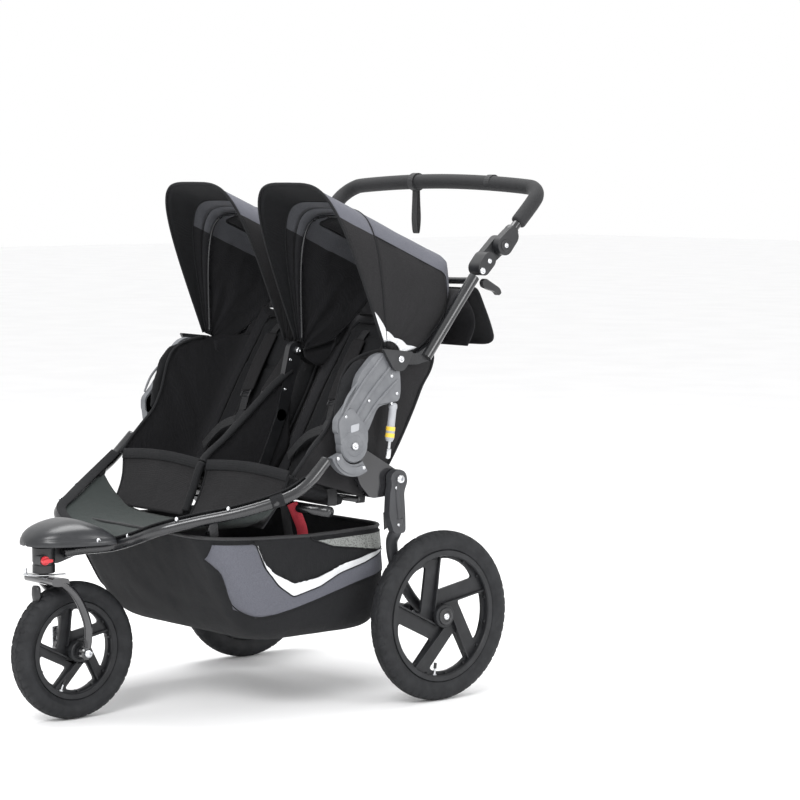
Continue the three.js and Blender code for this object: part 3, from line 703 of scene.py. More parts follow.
def head():
    upright = [(0, 332), (23, 332), (25, 334), (25, 350), (23.5, 351), (23.5, 356), (25, 357),
               (25, 388), (23, 390), (0, 390)]
    rings = [[at(r * math.cos(a), STEER_Y + r * math.sin(a), z) for r, z in upright] for a in angles(48)]
    gusset = slab(rounded([(STEER_Y + 12, 390), (STEER_Y + 12, 352), (STEER_Y + 30, 352),
                           (-712, 376), (-702, 390)], 6), -13, 13)
    bracket = slab(rounded([(STEER_Y - 25, 352), (STEER_Y - 4, 352), (STEER_Y - 4, 374),
                            (STEER_Y - 25, 374)], 4), 2, 25.6)
    make("head_tube", combine(loft(rings, loop=True), gusset, bracket), "black_plastic", "chassis",
         ["head_housing"], edge=1.5, sharp=45)
    make("swivel_knob", combine(
        turned(at(0, STEER_Y - 15, 363), [(0, 26.4), (9, 26.4), (10, 28), (10, 32), (9, 33.5), (0, 33.5)],
               32),
        slab(rounded([(STEER_Y - 28, 360), (STEER_Y - 15, 358.5), (STEER_Y - 2, 360), (STEER_Y - 2, 366),
                      (STEER_Y - 15, 367.5), (STEER_Y - 28, 366)], 3), 32, 41),
    ), "red_plastic", "lock_knob", ["swivel_lock_knob"], edge=1, sharp=45)
    make("tracking_lever", combine(
        strap([at(-24, STEER_Y - 34, 329.4), at(0, STEER_Y - 30, 329.4), at(22, STEER_Y + 2, 329.4),
               at(30, STEER_Y + 36, 329.4)], 16, 2.4, Vector((0, 0, 1))),
        tube([at(-20, STEER_Y - 34, 331), at(-20, STEER_Y - 34, 343)], 4, 16, 1),
    ), "bright_steel", "chassis", sharp=45)


NOSE_STATIONS = [(-874, 6, 402), (-866, 34, 414), (-842, 60, 430), (-805, 78, 441), (-765, 90, 444),
                 (-728, 96, 432), (-704, 96, 416)]
NOSE_BOTTOM = 394.5


def nose_cover():
    """A domed shell with a flat brim band round its lower edge."""
    line = smooth_line([Vector(s) for s in NOSE_STATIONS], 6)
    rows = []
    for y, half, top in line:
        tall = top - NOSE_BOTTOM
        brim = min(14.0, tall * 0.5) * (1 - 0.35 * (y + 874) / 170)
        inset = min(4.0, half * 0.1)
        row = [(half, 0), (half + 0.6, brim * 0.25), (half + 0.4, brim * 0.6), (half - 0.6, brim * 0.9),
               (half - inset * 0.8, brim * 1.02)]
        for i in range(1, 14):
            a = i / 14 * math.pi / 2
            row.append(((half - inset) * math.cos(a) ** 0.75, brim + (tall - brim) * math.sin(a) ** 0.9))
        row += [(0, tall)]
        full = row + [(-x, z) for x, z in reversed(row[:-1])]
        rows.append([at(x, y, NOSE_BOTTOM + z) for x, z in full])
    tip = [at(0, -875, NOSE_BOTTOM + 3)] * len(rows[0])
    shell = make("nose_shell", grid([tip] + rows), "black_plastic", "chassis", ["nose_cover"],
                 looks=[NOSE_PLASTIC], weld=False)
    thicken(shell, 3)
    for side, sign in SIDES:
        make(f"nose_bolt_{side}", bolt(at(sign * 92, -748, 404), 6.5, 4, sign), "bright_steel", "chassis")


NOSE_PLASTIC = moulded("nose_plastic", (0.016, 0.017, 0.019), (0.024, 0.025, 0.028), 0.3, 0.7)

front_end()
head()
nose_cover()

# ---------------------------------------------------------------- lower frame

SIDE_TUBE = [(28, -796, 378), (32, -745, 381), (66, -697, 386), (128, -678, 405), (196, -660, 430),
             (245, -600, 449), (307, -520, 470), (356, -440, 498), (370, -390, 526), (371, -334, 576)]
MAIN_PIVOT = (-260, 602)
LEG_PIVOT = (-130, 519)
CANOPY_HINGE = (-133, 789)


def arc(middle, radius, low, high, steps=24):
    """Points on part of a circle in the Y and Z plane, angles in degrees from +Y towards +Z."""
    points = []
    for i in range(steps + 1):
        a = math.radians(low + (high - low) * i / steps)
        points.append((middle[0] + radius * math.cos(a), middle[1] + radius * math.sin(a)))
    return points


def lower_frame():
    for side, sign in SIDES:
        line = [at(sign * x, y, z) for x, y, z in SIDE_TUBE]
        make(f"lower_tube_{side}", tube(line, 13, 32, 10), "frame_black", "chassis", [f"side_tube_{side}"])
        outline = arc(MAIN_PIVOT, 68, 200, 302) + arc(MAIN_PIVOT, 41, 302, 200)
        make(f"crescent_bracket_{side}", combine(
            slab(outline, 362, 379, sign=sign),
            slab(arc(MAIN_PIVOT, 62, 208, 294) + arc(MAIN_PIVOT, 47, 294, 208), 378, 382, sign=sign),
        ), "grey_plastic", "chassis", [f"hinge_bracket_{side}"], edge=2, sharp=40)
        bolts = [bolt(at(sign * 380, *arc(MAIN_PIVOT, 55, a, a, 1)[0]), 4.5, 3, sign) for a in (206, 296)]
        make(f"bracket_screws_{side}", combine(*bolts), "bright_steel", "chassis")
    front = [(-256, -560, 444), (-243, -560, 418), (-214, -560, 400), (0, -560, 397), (214, -560, 400),
             (243, -560, 418), (256, -560, 444)]
    make("front_cross_rail", tube([at(*p) for p in front], 9, 24, 6), "frame_black", "chassis",
         ["front_cross_tube"])
    low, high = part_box("seat_cross_tube")
    middle = (low + high) / 2
    make("seat_cross_rail", tube([Vector((low.x, middle.y, middle.z)), Vector((high.x, middle.y, middle.z))],
                                 12, 28, 2), "frame_black", "chassis", ["seat_cross_tube"])
    post = combine(slab(lobe(CANOPY_HINGE, 20, (-176, 640), 14), -8, 8),
                   slab(lobe((-176, 640), 14, (-258, 462), 14), -8, 8),
                   disc(at(0, *CANOPY_HINGE), 9, -17, 17))
    make("canopy_post", post, "black_plastic", "chassis", ["center_post"], edge=2, sharp=40)
    make("canopy_post_bolts", combine(
        bolt(at(17, *CANOPY_HINGE), 7, 4, 1), bolt(at(-17, *CANOPY_HINGE), 7, 4, -1),
        bolt(at(8, -150, 768), 4, 3, 1), bolt(at(8, -166, 700), 4, 3, 1),
    ), "bright_steel", "chassis")


PLATE_OUTLINE = [(-308, 628), (-307, 663), (-294, 676), (-258, 714), (-245, 757), (-200, 800),
                 (-168, 806), (-126, 766), (-123, 719), (-128, 694), (-190, 686), (-222, 625)]


def side_plate(side, sign):
    """The ribbed side plate with its main pivot boss and the canopy bracket above."""
    panel = slab(rounded(PLATE_OUTLINE, 16), 358, 375, sign=sign)
    pivot = turned(at(0, *MAIN_PIVOT), [(9, sign * 358), (38, sign * 358), (38, sign * 376),
                                        (35, sign * 380), (24, sign * 380), (22, sign * 378),
                                        (9, sign * 378)], 72)
    neck = slab(rounded([(-298, 600), (-306, 660), (-270, 690), (-222, 640), (-222, 600)], 14),
                358, 379, sign=sign)
    rails = []
    for start, end, width in (((-296, 662), (-176, 798), 7), ((-268, 650), (-148, 778), 8),
                              ((-236, 646), (-134, 742), 7), ((-248, 742), (-296, 676), 6)):
        middle = ((start[0] + end[0]) / 2 - 5, (start[1] + end[1]) / 2 + 3)
        path = [at(sign * 375.5, *p) for p in (start, middle, end)]
        rails.append(tube(path, width / 2, 14, 8, 0.9, up=Vector((sign, 0, 0)),
                          swell=lambda t: 0.55 + 0.45 * math.sin(math.pi * t) ** 0.5))
    make(f"rib_plate_{side}", combine(panel, neck, pivot, *rails), "grey_plastic", "chassis",
         [f"side_plate_{side}"], edge=2.5, sharp=45)
    recess = slab(rounded([(-272, 632), (-250, 636), (-248, 652), (-272, 648)], 3), 378, 380.4, sign=sign)
    make(f"pivot_inlay_{side}", recess, "grey_plastic", "chassis", looks=[PALE_GREY], edge=0.6)
    bracket = slab(rounded([(-184, 814), (-96, 804), (-116, 770), (-128, 762), (-146, 762), (-156, 770)], 7),
                   378, 387, sign=sign)
    make(f"canopy_bracket_{side}", bracket, "black_plastic", "chassis", edge=2.5, sharp=45)
    spots = ((CANOPY_HINGE, 8, 4.4, 387), ((-151, 752), 4.2, 3, 375), ((-218, 700), 3.6, 3, 376),
             ((-136, 712), 4, 3, 375), ((-150, 690), 3.6, 3, 374), (MAIN_PIVOT, 9, 5, 379),
             ((-285, 668), 3.4, 3, 378))
    make(f"plate_bolts_{side}", combine(*[bolt(at(sign * x, *spot), r, h, sign)
                                          for spot, r, h, x in spots]), "bright_steel", "chassis")


def suspension(side, sign):
    arm = slab(rounded([(-286, 598), (-262, 620), (-240, 606), (-112, 532), (-111, 512), (-128, 500),
                        (-150, 480), (-196, 478), (-228, 512), (-250, 574)], 12), 341.5, 357.5, sign=sign)
    make(f"swing_link_{side}", arm, "gloss_black", "rocker", [f"suspension_link_{side}"], edge=3, sharp=45)
    make(f"link_pins_{side}", combine(
        bolt(at(sign * 380, *LEG_PIVOT), 10, 7, sign),
        turned(at(0, *LEG_PIVOT), [(0, sign * 345), (7.6, sign * 345), (7.6, sign * 381), (0, sign * 381)],
               24),
    ), "bright_steel", "rocker", sharp=40)
    casting = slab(rounded([(-156, 530), (-134, 543), (-112, 534), (-106, 512), (-117, 490), (-113, 440),
                            (-112, 396), (-146, 396), (-161, 440), (-158, 488), (-153, 505)], 11),
                   360, 379, sign=sign)
    sweep = [(369, -130, 432), (361, -127, 400), (338, -119, 372), (324, -102, 330), (316, -80, 290),
             (312, -42, 238), (311, 0, 195)]
    lower = tube([at(sign * x, y, z) for x, y, z in sweep], 13, 28, 8, 1.0,
                 swell=lambda t: 1.12 - 0.2 * t)
    boss = disc(at(0, 0, REAR_RADIUS), 21, sign * 299.5, sign * 324, 3)
    rib = tube([at(sign * 378, -134, 528), at(sign * 379, -137, 488), at(sign * 379, -132, 440),
                at(sign * 377, -129, 404)], 5, 14, 8, 0.7, up=Vector((sign, 0, 0)))
    make(f"cast_leg_{side}", combine(casting, lower, boss, rib), "cast_grey", "rear_legs",
         [f"rear_leg_{side}"], edge=3.5, sharp=45)
    make(f"leg_rivets_{side}", combine(bolt(at(sign * 379, -140, 500), 4, 2.5, sign),
                                       bolt(at(sign * 379, -134, 416), 3.6, 2.5, sign)),
         "bright_steel", "rear_legs")


SHOCK_TOP = Vector((-142, 679))
SHOCK_LOW = Vector((-158, 566))


def shock(side, sign):
    """A shock absorber: a grey barrel with yellow marks, and a steel rod with a wider end."""
    def along(share):
        p = SHOCK_TOP.lerp(SHOCK_LOW, share)
        return at(sign * 369, p.x, p.y)

    def turned_along(stops):
        axis = (along(1) - along(0)).normalized()
        side_way, rings = Vector((1, 0, 0)), []
        other = axis.cross(side_way)
        for share, radius in stops:
            rings.append([along(share) + (side_way * math.cos(a) + other * math.sin(a)) * radius * MM
                          for a in angles(28)])
        return loft(rings)

    make(f"shock_barrel_{side}", turned_along([(-0.1, 6), (-0.07, 9.6), (0.0, 10), (0.02, 8.6), (0.36, 8.6),
                                               (0.37, 10), (0.6, 10), (0.62, 9), (0.66, 7)]),
         "cast_grey", "shock_bodies", [f"shock_body_{side}"], looks=[PALE_GREY], sharp=40)
    make(f"shock_marks_{side}", combine(turned_along([(0.37, 10.4), (0.45, 10.4)]),
                                        turned_along([(0.5, 10.4), (0.58, 10.4)])),
         "cast_grey", "shock_bodies", looks=[YELLOW], sharp=40)
    make(f"shock_piston_{side}", turned_along([(0.5, 4), (0.8, 4), (0.81, 6.4), (0.97, 6.4), (1.0, 4)]),
         "bright_steel", "shock_rods", [f"shock_rod_{side}"], sharp=40)


lower_frame()
for side, sign in SIDES:
    side_plate(side, sign)
    suspension(side, sign)
    shock(side, sign)


def brake():
    bar = slab(rounded([(12, 196), (40, 201), (74, 203), (74, 209), (40, 210), (12, 207)], 3), -60, 60)
    sleeve = turned(at(0, 0, REAR_RADIUS), [(12.8, -70), (18, -70), (18, 70), (12.8, 70)], 40)
    treads = [slab([(30 + 9 * i, 209), (34 + 9 * i, 209), (34 + 9 * i, 211.4), (30 + 9 * i, 211.4)], -54, 54)
              for i in range(5)]
    make("brake_bar", combine(bar, sleeve, *treads), "black_plastic", "brake", ["brake_pedal"],
         edge=1.2, sharp=45)
    for side, sign in SIDES:
        caliper = slab(rounded([(-34, 176), (-30, 214), (4, 222), (26, 210), (22, 178)], 8),
                       276, 298, sign=sign)
        make(f"brake_latch_{side}", caliper, "black_plastic", "rear_legs", edge=2, sharp=45)
        make(f"brake_latch_bolts_{side}", combine(bolt(at(sign * 298, -20, 198), 4, 3, sign),
                                                  bolt(at(sign * 298, 4, 212), 4, 3, sign)),
             "bright_steel", "rear_legs")


brake()

# ---------------------------------------------------------------- upper frame and handlebar

UPPER_X = 357
KNUCKLE = (193, 1036)


def upper_side(side, sign):
    shaft = tube([at(sign * UPPER_X, 112, 965), at(sign * UPPER_X, 40, 877), at(sign * UPPER_X, -20, 804),
                  at(sign * UPPER_X, -34, 787)], 13, 32, 8)
    arm = slab(rounded([(-133, 775), (-60, 772), (-20, 780), (2, 806), (-14, 820), (-60, 797),
                        (-133, 803)], 8), 344, 357.4, sign=sign)
    eye = disc(at(0, *CANOPY_HINGE), 14, sign * 344, sign * 357.4, 2)
    make(f"push_tube_{side}", combine(shaft, arm, eye), "frame_black", "upper_frame",
         [f"upper_tube_{side}"], edge=2, sharp=50)
    inner = slab(lobe((130, 986), 18, KNUCKLE, 23), 337, 355.5, sign=sign)
    clamp = slab(lobe((130, 986), 18, (146, 1003), 19), 337, 374, sign=sign)
    make(f"joint_lower_{side}", combine(inner, clamp), "black_plastic", "upper_frame",
         [f"lower_knuckle_{side}"], edge=4, sharp=50)
    make(f"joint_bolts_{side}", combine(bolt(at(sign * 373, 145, 1001), 6, 4, sign),
                                        bolt(at(sign * 373, 124, 979), 8, 4, sign)),
         "bright_steel", "upper_frame")
    hand = slab(lobe(KNUCKLE, 23, (214, 1056), 20), 356, 376, sign=sign)
    collar = tube([at(sign * 358, 216, 1057), at(sign * 358, 232, 1073)], 17, 28, 3,
                  swell=lambda t: 1 - 0.12 * abs(2 * t - 1) ** 3)
    button = disc(at(0, *KNUCKLE), 14, sign * 374, sign * 378.4, 1.5)
    make(f"joint_upper_{side}", combine(hand, collar, button), "black_plastic", "handlebar",
         [f"handle_knuckle_{side}"], edge=3.5, sharp=50)
    make(f"joint_button_{side}", bolt(at(sign * 378, *KNUCKLE), 6, 3, sign), "bright_steel", "handlebar")
    lever = slab(rounded([(126, 954), (136, 962), (160, 949), (180, 938), (186, 926), (176, 920),
                          (166, 930), (148, 935), (129, 942)], 5), 359, 371, sign=sign)
    make(f"fold_lever_{side}", lever, "black_plastic", f"lever_{side}", [f"release_lever_{side}"],
         edge=2.5, sharp=50)


HALF_BAR = [(358, 246, 1086), (358, 292, 1131), (351, 312, 1150), (330, 325, 1164), (295, 329, 1170),
            (150, 331, 1178)]
GRIP_TOP = (332, 1181)


def handlebar():
    mirrored = [(-x, y, z) for x, y, z in reversed(HALF_BAR)]
    line = [at(*p) for p in HALF_BAR + [(0, *GRIP_TOP)] + mirrored]
    make("bar_tube", tube([at(*p) for p in [(358, 228, 1069)] + HALF_BAR + [(0, *GRIP_TOP)] + mirrored
                           + [(-358, 228, 1069)]], 11, 20, 6), "frame_black", "handlebar",
         ["handlebar_tube"])
    grip = tube(line, 18, 36, 14, swell=lambda t: 1 - 0.25 * max(0, abs(2 * t - 1) - 0.985) / 0.015)
    make("bar_grip", grip, "foam", "handlebar", ["handlebar_grip"])
    for x in (-101, 175):
        band = tube([at(x - 9, 331.5, 1179), at(x + 9, 331.5, 1179)], 19, 36, 3)
        make(f"grip_band_{'strap' if x < 0 else 'seam'}", band, "webbing", "handlebar", sharp=40)


def wrist_strap():
    """A ribbon sewn round the grip, hanging in a long narrow loop."""
    x, y, z = -101, 331.4, 1179.4
    ring = [at(x, y + 21 * math.sin(a), z + 21 * math.cos(a)) for a in angles(12)]
    loop = loft(rings_along(smooth_line(ring, 4, True), [(-1, -9), (1, -9), (1, 9), (-1, 9)],
                            Vector((1, 0, 0)), True), loop=True)
    hanging = [at(x, y - 4, z - 19), at(x + 1, y - 6, z - 50), at(x, y - 7, z - 90), at(x, y - 4, z - 120),
               at(x, y, z - 126), at(x, y + 4, z - 120), at(x, y + 7, z - 90), at(x - 1, y + 6, z - 50),
               at(x, y + 4, z - 19)]
    ribbon = loft(rings_along(smooth_line(hanging, 6), [(-1, -8.5), (1, -8.5), (1, 8.5), (-1, 8.5)],
                              Vector((1, 0, 0))))
    make("wrist_ribbon", combine(loop, ribbon), "webbing", "handlebar", ["wrist_strap"], sharp=50)


for side, sign in SIDES:
    upper_side(side, sign)
handlebar()
wrist_strap()
crossbar = [(-336, 128, 962), (-318, 137, 955), (-200, 140, 952), (0, 141, 951), (200, 140, 952),
            (318, 137, 955), (336, 128, 962)]
make("back_rail", tube([at(*p) for p in crossbar], 8, 24, 8), "frame_black", "upper_frame", ["back_crossbar"])

# ---------------------------------------------------------------- canopies

CANOPY_X = 181            # middle of the left canopy
CANOPY_HALF = 160
ARCH_POWER = 0.46         # 1 is an ellipse, less is squarer
MID_SEAM, FRONT_RIM, REAR_EDGE, REAR_LOW = 95, 112, 32, 11     # degrees about the hinge line
HEM_STARTS = 101
CRUMPLE = 5.0             # depth of the soft folds, in millimetres
STRIPE_SHARE = 0.82       # how far up the side the grey stripe's seam runs
CANOPY_LOOKS = [CHARCOAL, LOOKS["grey_fabric"], CHARCOAL, LOOKS["grey_fabric"],
                LINING, GREY_LINING, LOOKS["black_fabric"], LOOKS["black_fabric"]]
SILVER_REACH = [(10, 95), (25, 62), (67, 48), (95, 62), (104, 90), (114, 126)]   # degrees, millimetres


def interpolate(table, x):
    """The value at x on the straight lines through a table's points."""
    if x <= table[0][0]:
        return table[0][1]
    for (a, low), (b, high) in zip(table, table[1:]):
        if x <= b:
            return low + (high - low) * (x - a) / (b - a)
    return table[-1][1]


def polar(middle, distance, degrees):
    a = math.radians(degrees)
    return (middle[0] + distance * math.cos(a), middle[1] + distance * math.sin(a))


def ridge(degrees):
    """How far the taut ridge is from the hinge line in a direction."""
    taut = 296 / math.cos(math.radians(degrees - 66.8))
    return min(taut, 276 + 3.4 * (degrees - REAR_EDGE))


def canopy_place(sign, degrees, turn, inset=0.0):
    """A place on the canopy: degrees about the hinge line, turn from 0 (outer hinge) to 1 (inner hinge)."""
    a = turn * math.pi
    across = math.copysign(abs(math.cos(a)) ** ARCH_POWER, math.cos(a))
    rise = (ridge(degrees) - inset) * max(math.sin(a), 0) ** ARCH_POWER
    return at(sign * (CANOPY_X + (CANOPY_HALF - inset) * across), *polar(CANOPY_HINGE, rise, degrees))


def canopy_turns(sides=28, top=40, lowest=0.07, bend=0.8):
    """Turns over the arch: even steps up each side, then even steps over the top."""
    rising = [lowest + (bend - lowest) * i / sides for i in range(sides)]
    up = [math.asin(share ** (1 / ARCH_POWER)) / math.pi for share in rising]
    start = math.asin(bend ** (1 / ARCH_POWER)) / math.pi
    over = [start + (1 - 2 * start) * i / top for i in range(top + 1)]
    return up + over + [1 - turn for turn in reversed(up)]


def crumple(sign, degrees, turn, depth):
    """Soft radial folds in the canopy's sides, in millimetres."""
    side = 1 - min(1, abs(math.sin(turn * math.pi)) ** 2)
    broad = noise.noise(Vector((degrees * 0.075, turn * 7 + 3, sign)))
    fine = noise.noise(Vector((degrees * 0.22 + turn * 9, turn * 16, sign + 5)))
    return depth * (0.35 + side) * (broad + 0.45 * fine)


def canopy_rows(sign, courses):
    """Rows of places over the arch, one for each function in courses."""
    rows = []
    for angle in courses:
        row = []
        for turn in canopy_turns():
            degrees, ease = angle(turn)
            place = canopy_place(sign, degrees, turn)
            depth = crumple(sign, degrees, turn, CRUMPLE) * ease
            a, lean = turn * math.pi, math.radians(degrees)
            outward = Vector((sign * math.copysign(1, math.cos(a)), 0, 0)) * abs(math.cos(a))
            outward += Vector((0, math.cos(lean), math.sin(lean))) * math.sin(a)
            row.append(place - outward * max(depth, -1.0) * MM)
        rows.append(row)
    return rows


def smooth_side(points, steps):
    """A smooth line through (y, z) places, at x = 0."""
    return smooth_line([Vector((0, *p)) for p in points], steps)


def rear_low_edge(turn):
    """The rear edge swings lower down the sides."""
    share = max(math.sin(turn * math.pi), 0) ** ARCH_POWER
    return REAR_LOW + (REAR_EDGE - REAR_LOW) * min(1, max(0, (share - 0.4) / 0.45))


def canopy_zones(rows, hem):
    """Which of the canopy's cloths each face is cut from."""
    zones = []
    turns = canopy_turns()
    for r in range(len(rows) - 1):
        for i in range(len(turns) - 1):
            turn = (turns[i] + turns[i + 1]) / 2
            share = max(0, math.sin(turn * math.pi)) ** ARCH_POWER
            place = (rows[r][i] + rows[r + 1][i + 1]) / 2 - at(0, *CANOPY_HINGE)
            degrees = math.degrees(math.atan2(place.z, place.y))
            zone = 1 if share > STRIPE_SHARE else 0
            zones.append(zone + 2 if hem and degrees > HEM_STARTS else zone)
    return zones


def facing_out(shape, middle):
    """Turns every face of an open skin outwards from a point."""
    corners, faces = shape
    total = 0
    for face in faces[::7]:
        a, b, c = corners[face[0]], corners[face[1]], corners[face[2]]
        total += (b - a).cross(c - a).dot(a - middle)
    return shape if total > 0 else (corners, [tuple(reversed(f)) for f in faces])


def blend_rear(piece):
    """Bakes the piece's placement into its mesh."""
    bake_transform(piece)


def blend_front(piece):
    """Bakes the piece's placement into its mesh."""
    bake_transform(piece)


def rear_angle(i, steps):
    """Gives a row's degrees and looseness at a turn, from the mid seam back to the rear edge."""
    return lambda turn: (MID_SEAM - (MID_SEAM - rear_low_edge(turn)) * i / steps,
                         max(0, math.sin(math.pi * i / steps)) ** 0.6)


def front_angle(i, steps):
    """The same from the mid seam forward to the rim."""
    return lambda turn: (MID_SEAM + (FRONT_RIM - MID_SEAM) * i / steps,
                         0.5 * max(0, math.sin(math.pi * i / steps)) ** 0.6)


def canopy_cover(side, sign):
    """The canopy's two sheets, which share the mid seam."""
    middle = at(sign * CANOPY_X, *polar(CANOPY_HINGE, 150, 70))
    for tag, angle, steps, hem in (("rear", rear_angle, 26, False), ("front", front_angle, 9, True)):
        rows = canopy_rows(sign, [angle(i, steps) for i in range(steps + 1)])
        cover = make(f"hood_{tag}_{side}", facing_out(grid(rows), middle), "grey_fabric",
                     replaces=[f"canopy_{tag}_{side}"], looks=CANOPY_LOOKS, zones=canopy_zones(rows, hem),
                     weld=False)
        thicken(cover, 1.6, 4)
        declare(cover, rows, rests_on=[f"canopy_bow_{side}"])
        if tag == "rear":
            blend_rear(cover)
        else:
            blend_front(cover)


def canopy_trim(side, sign):
    """Piping, seams and the wire bow, all along the arch."""
    lines = (("hood_rim_piping", FRONT_RIM, 3.2, 0), ("hood_seam", MID_SEAM, 1.8, 0),
             ("hood_hem_stitch", HEM_STARTS, 1.3, 2.5))
    for name, degrees, radius, inset in lines:
        path = [canopy_place(sign, degrees, turn, inset) for turn in canopy_turns(14, 30)]
        trim = make(f"{name}_{side}", tube(path, radius, 10, 1), "black_fabric")
        blend_front(trim)
    path = [canopy_place(sign, MID_SEAM - 3, turn, 12) for turn in canopy_turns(14, 30)]
    make(f"hood_wire_{side}", tube(path, 3.5, 14, 1), "frame_black", "canopy_bows", [f"canopy_bow_{side}"])
    path = [canopy_place(sign, rear_low_edge(turn), turn) for turn in canopy_turns(14, 30)]
    make(f"hood_rear_piping_{side}", tube(path, 2.6, 10, 1), "black_fabric", "upper_frame")
    stripe = math.asin(STRIPE_SHARE ** (1 / ARCH_POWER)) / math.pi
    for end, turn in enumerate((stripe, 1 - stripe)):
        low = rear_low_edge(turn)
        path = [canopy_place(sign, MID_SEAM - (MID_SEAM - low) * i / 20, turn, -0.4) for i in range(21)]
        seam = make(f"hood_stripe_seam_{side}_{end}", tube(path, 1.2, 8, 2), "black_fabric")
        blend_rear(seam)


def canopy_window(side, sign):
    """The window's flap in the ceiling, with its bound edge."""
    rows = [[canopy_place(sign, 48 + 38 * i / 14, 0.36 + 0.28 * j / 14, 3.4) for j in range(15)]
            for i in range(15)]
    pane = make(f"hood_window_{side}", grid(rows), "mesh_fabric", looks=[LINING], weld=False)
    thicken(pane, 1)
    declare(pane, rows)
    blend_rear(pane)
    outline = rows[0] + [row[-1] for row in rows[1:]] + rows[-1][::-1][1:]
    outline += [row[0] for row in rows[::-1][1:-1]]
    binding = make(f"hood_window_binding_{side}", tube(outline[::2], 3, 8, 3, loop=True), "black_fabric")
    blend_rear(binding)


def turn_at(reach, degrees):
    """Where on the arch the cloth is this far from the hinge line."""
    share = min(1, reach / ridge(degrees))
    return math.asin(share ** (1 / ARCH_POWER)) / math.pi


def silver_trim(side, sign):
    """The reflective crescent sewn over the canopy's lower outer corner."""
    for tag, low, high in (("rear", REAR_LOW + 1, MID_SEAM), ("front", MID_SEAM, FRONT_RIM - 0.5)):
        rows = []
        for i in range(31):
            degrees = low + (high - low) * i / 30
            reach = interpolate(SILVER_REACH, degrees)
            row = []
            for j in range(9):
                turn = turn_at(38 + (reach - 38) * j / 8, degrees)
                place = canopy_place(sign, degrees, turn)
                depth = crumple(sign, degrees, turn, CRUMPLE) * 0.5
                row.append(place + Vector((sign * (1.4 - max(depth, -1.0) * 0.4), 0, 0)) * MM)
            rows.append(row)
        trim = make(f"hood_silver_{side}_{tag}", facing_out(grid(rows), at(sign * CANOPY_X, -133, 860)),
                    "reflective_fabric", weld=False)
        thicken(trim, 1)
        declare(trim, rows)
        if tag == "rear":
            blend_rear(trim)
        else:
            blend_front(trim)


def head_panel(side, sign):
    """The panel behind the child's head, from the canopy's rear edge down to the seat back."""
    rows = []
    for i in range(13):
        share = i / 12
        y = 97 - 50 * share - 8 * math.sin(math.pi * share)
        z = 936 - 66 * share
        half = 154 + 6 * share
        rows.append([at(sign * (CANOPY_X - 12 * share + half * (2 * j / 24 - 1)), y
                        + 7 * math.sin(math.pi * j / 24), z) for j in range(25)])
    zones = []
    for i in range(12):
        for j in range(24):
            zones.append(1 if 2 < i < 10 and 3 < j < 20 else 0)
    panel = make(f"head_panel_{side}", grid(rows), "black_fabric", "upper_frame", zones=zones, weld=False,
                 looks=[LINING, HEAD_MESH])
    thicken(panel, 1.5)
    declare(panel, rows)


def web(upper, lower, x_at, steps=8):
    """Rows of places from one line down to another. x_at gives x from the upper line's y and the step."""
    rows = []
    for a, b in zip(upper, lower):
        rows.append([at(x_at(a.y, k), a.y + (b.y - a.y) * k / steps, a.z + (b.z - a.z) * k / steps)
                     for k in range(steps + 1)])
    return rows


def gusset(side, sign, tag, x):
    """The cloth between the canopy's rear edge and the seat back, on one side of a seat."""
    upper = smooth_side(((-118, 794), (-7, 816), (60, 874), (97, 934)), 6)
    lower = smooth_side(((-112, 772), (-58, 752), (-10, 826), (62, 880)), 6)
    rows = web(upper, lower, lambda y, k: sign * (x + 2 * noise.noise(Vector((y * 0.02, k * 0.4, x)))))
    panel = make(f"hood_gusset_{side}_{tag}", grid(rows), "black_fabric", "upper_frame", looks=[LINING],
                 weld=False)
    thicken(panel, 1.5)
    declare(panel, rows)


HEAD_MESH = knitted_mesh("dark_mesh")

for side, sign in SIDES:
    canopy_cover(side, sign)
    canopy_trim(side, sign)
    canopy_window(side, sign)
    silver_trim(side, sign)
    head_panel(side, sign)
    gusset(side, sign, "inner", 15)
    gusset(side, sign, "outer", 335)

# ---------------------------------------------------------------- seats

SEAT_PIVOT = (-196, 472)
SEAT_LEAN = 60
SEAT_X = 166
SHELL_HALF = 162.4        # half the width of the cloth shell behind a seat back


def seat_place(sign, x, along, ahead):
    """A place on a seat back: along it from the pivot, and ahead of its middle plane."""
    y, z = polar(polar(SEAT_PIVOT, along, SEAT_LEAN), ahead, SEAT_LEAN + 90)
    return at(sign * x, y, z)


def seat_ahead():
    """The direction in which a seat back faces."""
    return (seat_place(1, 0, 0, 1) - seat_place(1, 0, 0, 0)).normalized()


def cushion(corners, thickness, normal):
    """A flat closed pad from an outline of places."""
    half = Vector(normal).normalized() * thickness / 2 * MM
    front, back = [c + half for c in corners], [c - half for c in corners]
    count = len(corners)
    faces = [tuple(range(count)), tuple(count + i for i in reversed(range(count)))]
    faces += [(i, i + count, (i + 1) % count + count, (i + 1) % count) for i in range(count)]
    return front + back, faces


def stitch_in(piece, lines, depth, width):
    """Draws the cloth in along sewn lines, towards the pad's middle."""
    middle = sum((v.co for v in piece.data.vertices), Vector()) / len(piece.data.vertices)
    for vertex in piece.data.vertices:
        pull = 0
        for start, end, way in lines:
            _, share = geometry.intersect_point_line(vertex.co, start, end)
            nearest = start.lerp(end, min(1, max(0, share)))
            gap = vertex.co - nearest
            gap -= way * gap.dot(way)
            pull = max(pull, math.exp(-(gap.length / (width * MM)) ** 2))
        if pull > 0.02:
            way = lines[0][2]
            lift = (vertex.co - middle).dot(way)
            vertex.co -= way * math.copysign(min(abs(lift) * 0.8, depth * MM), lift) * pull


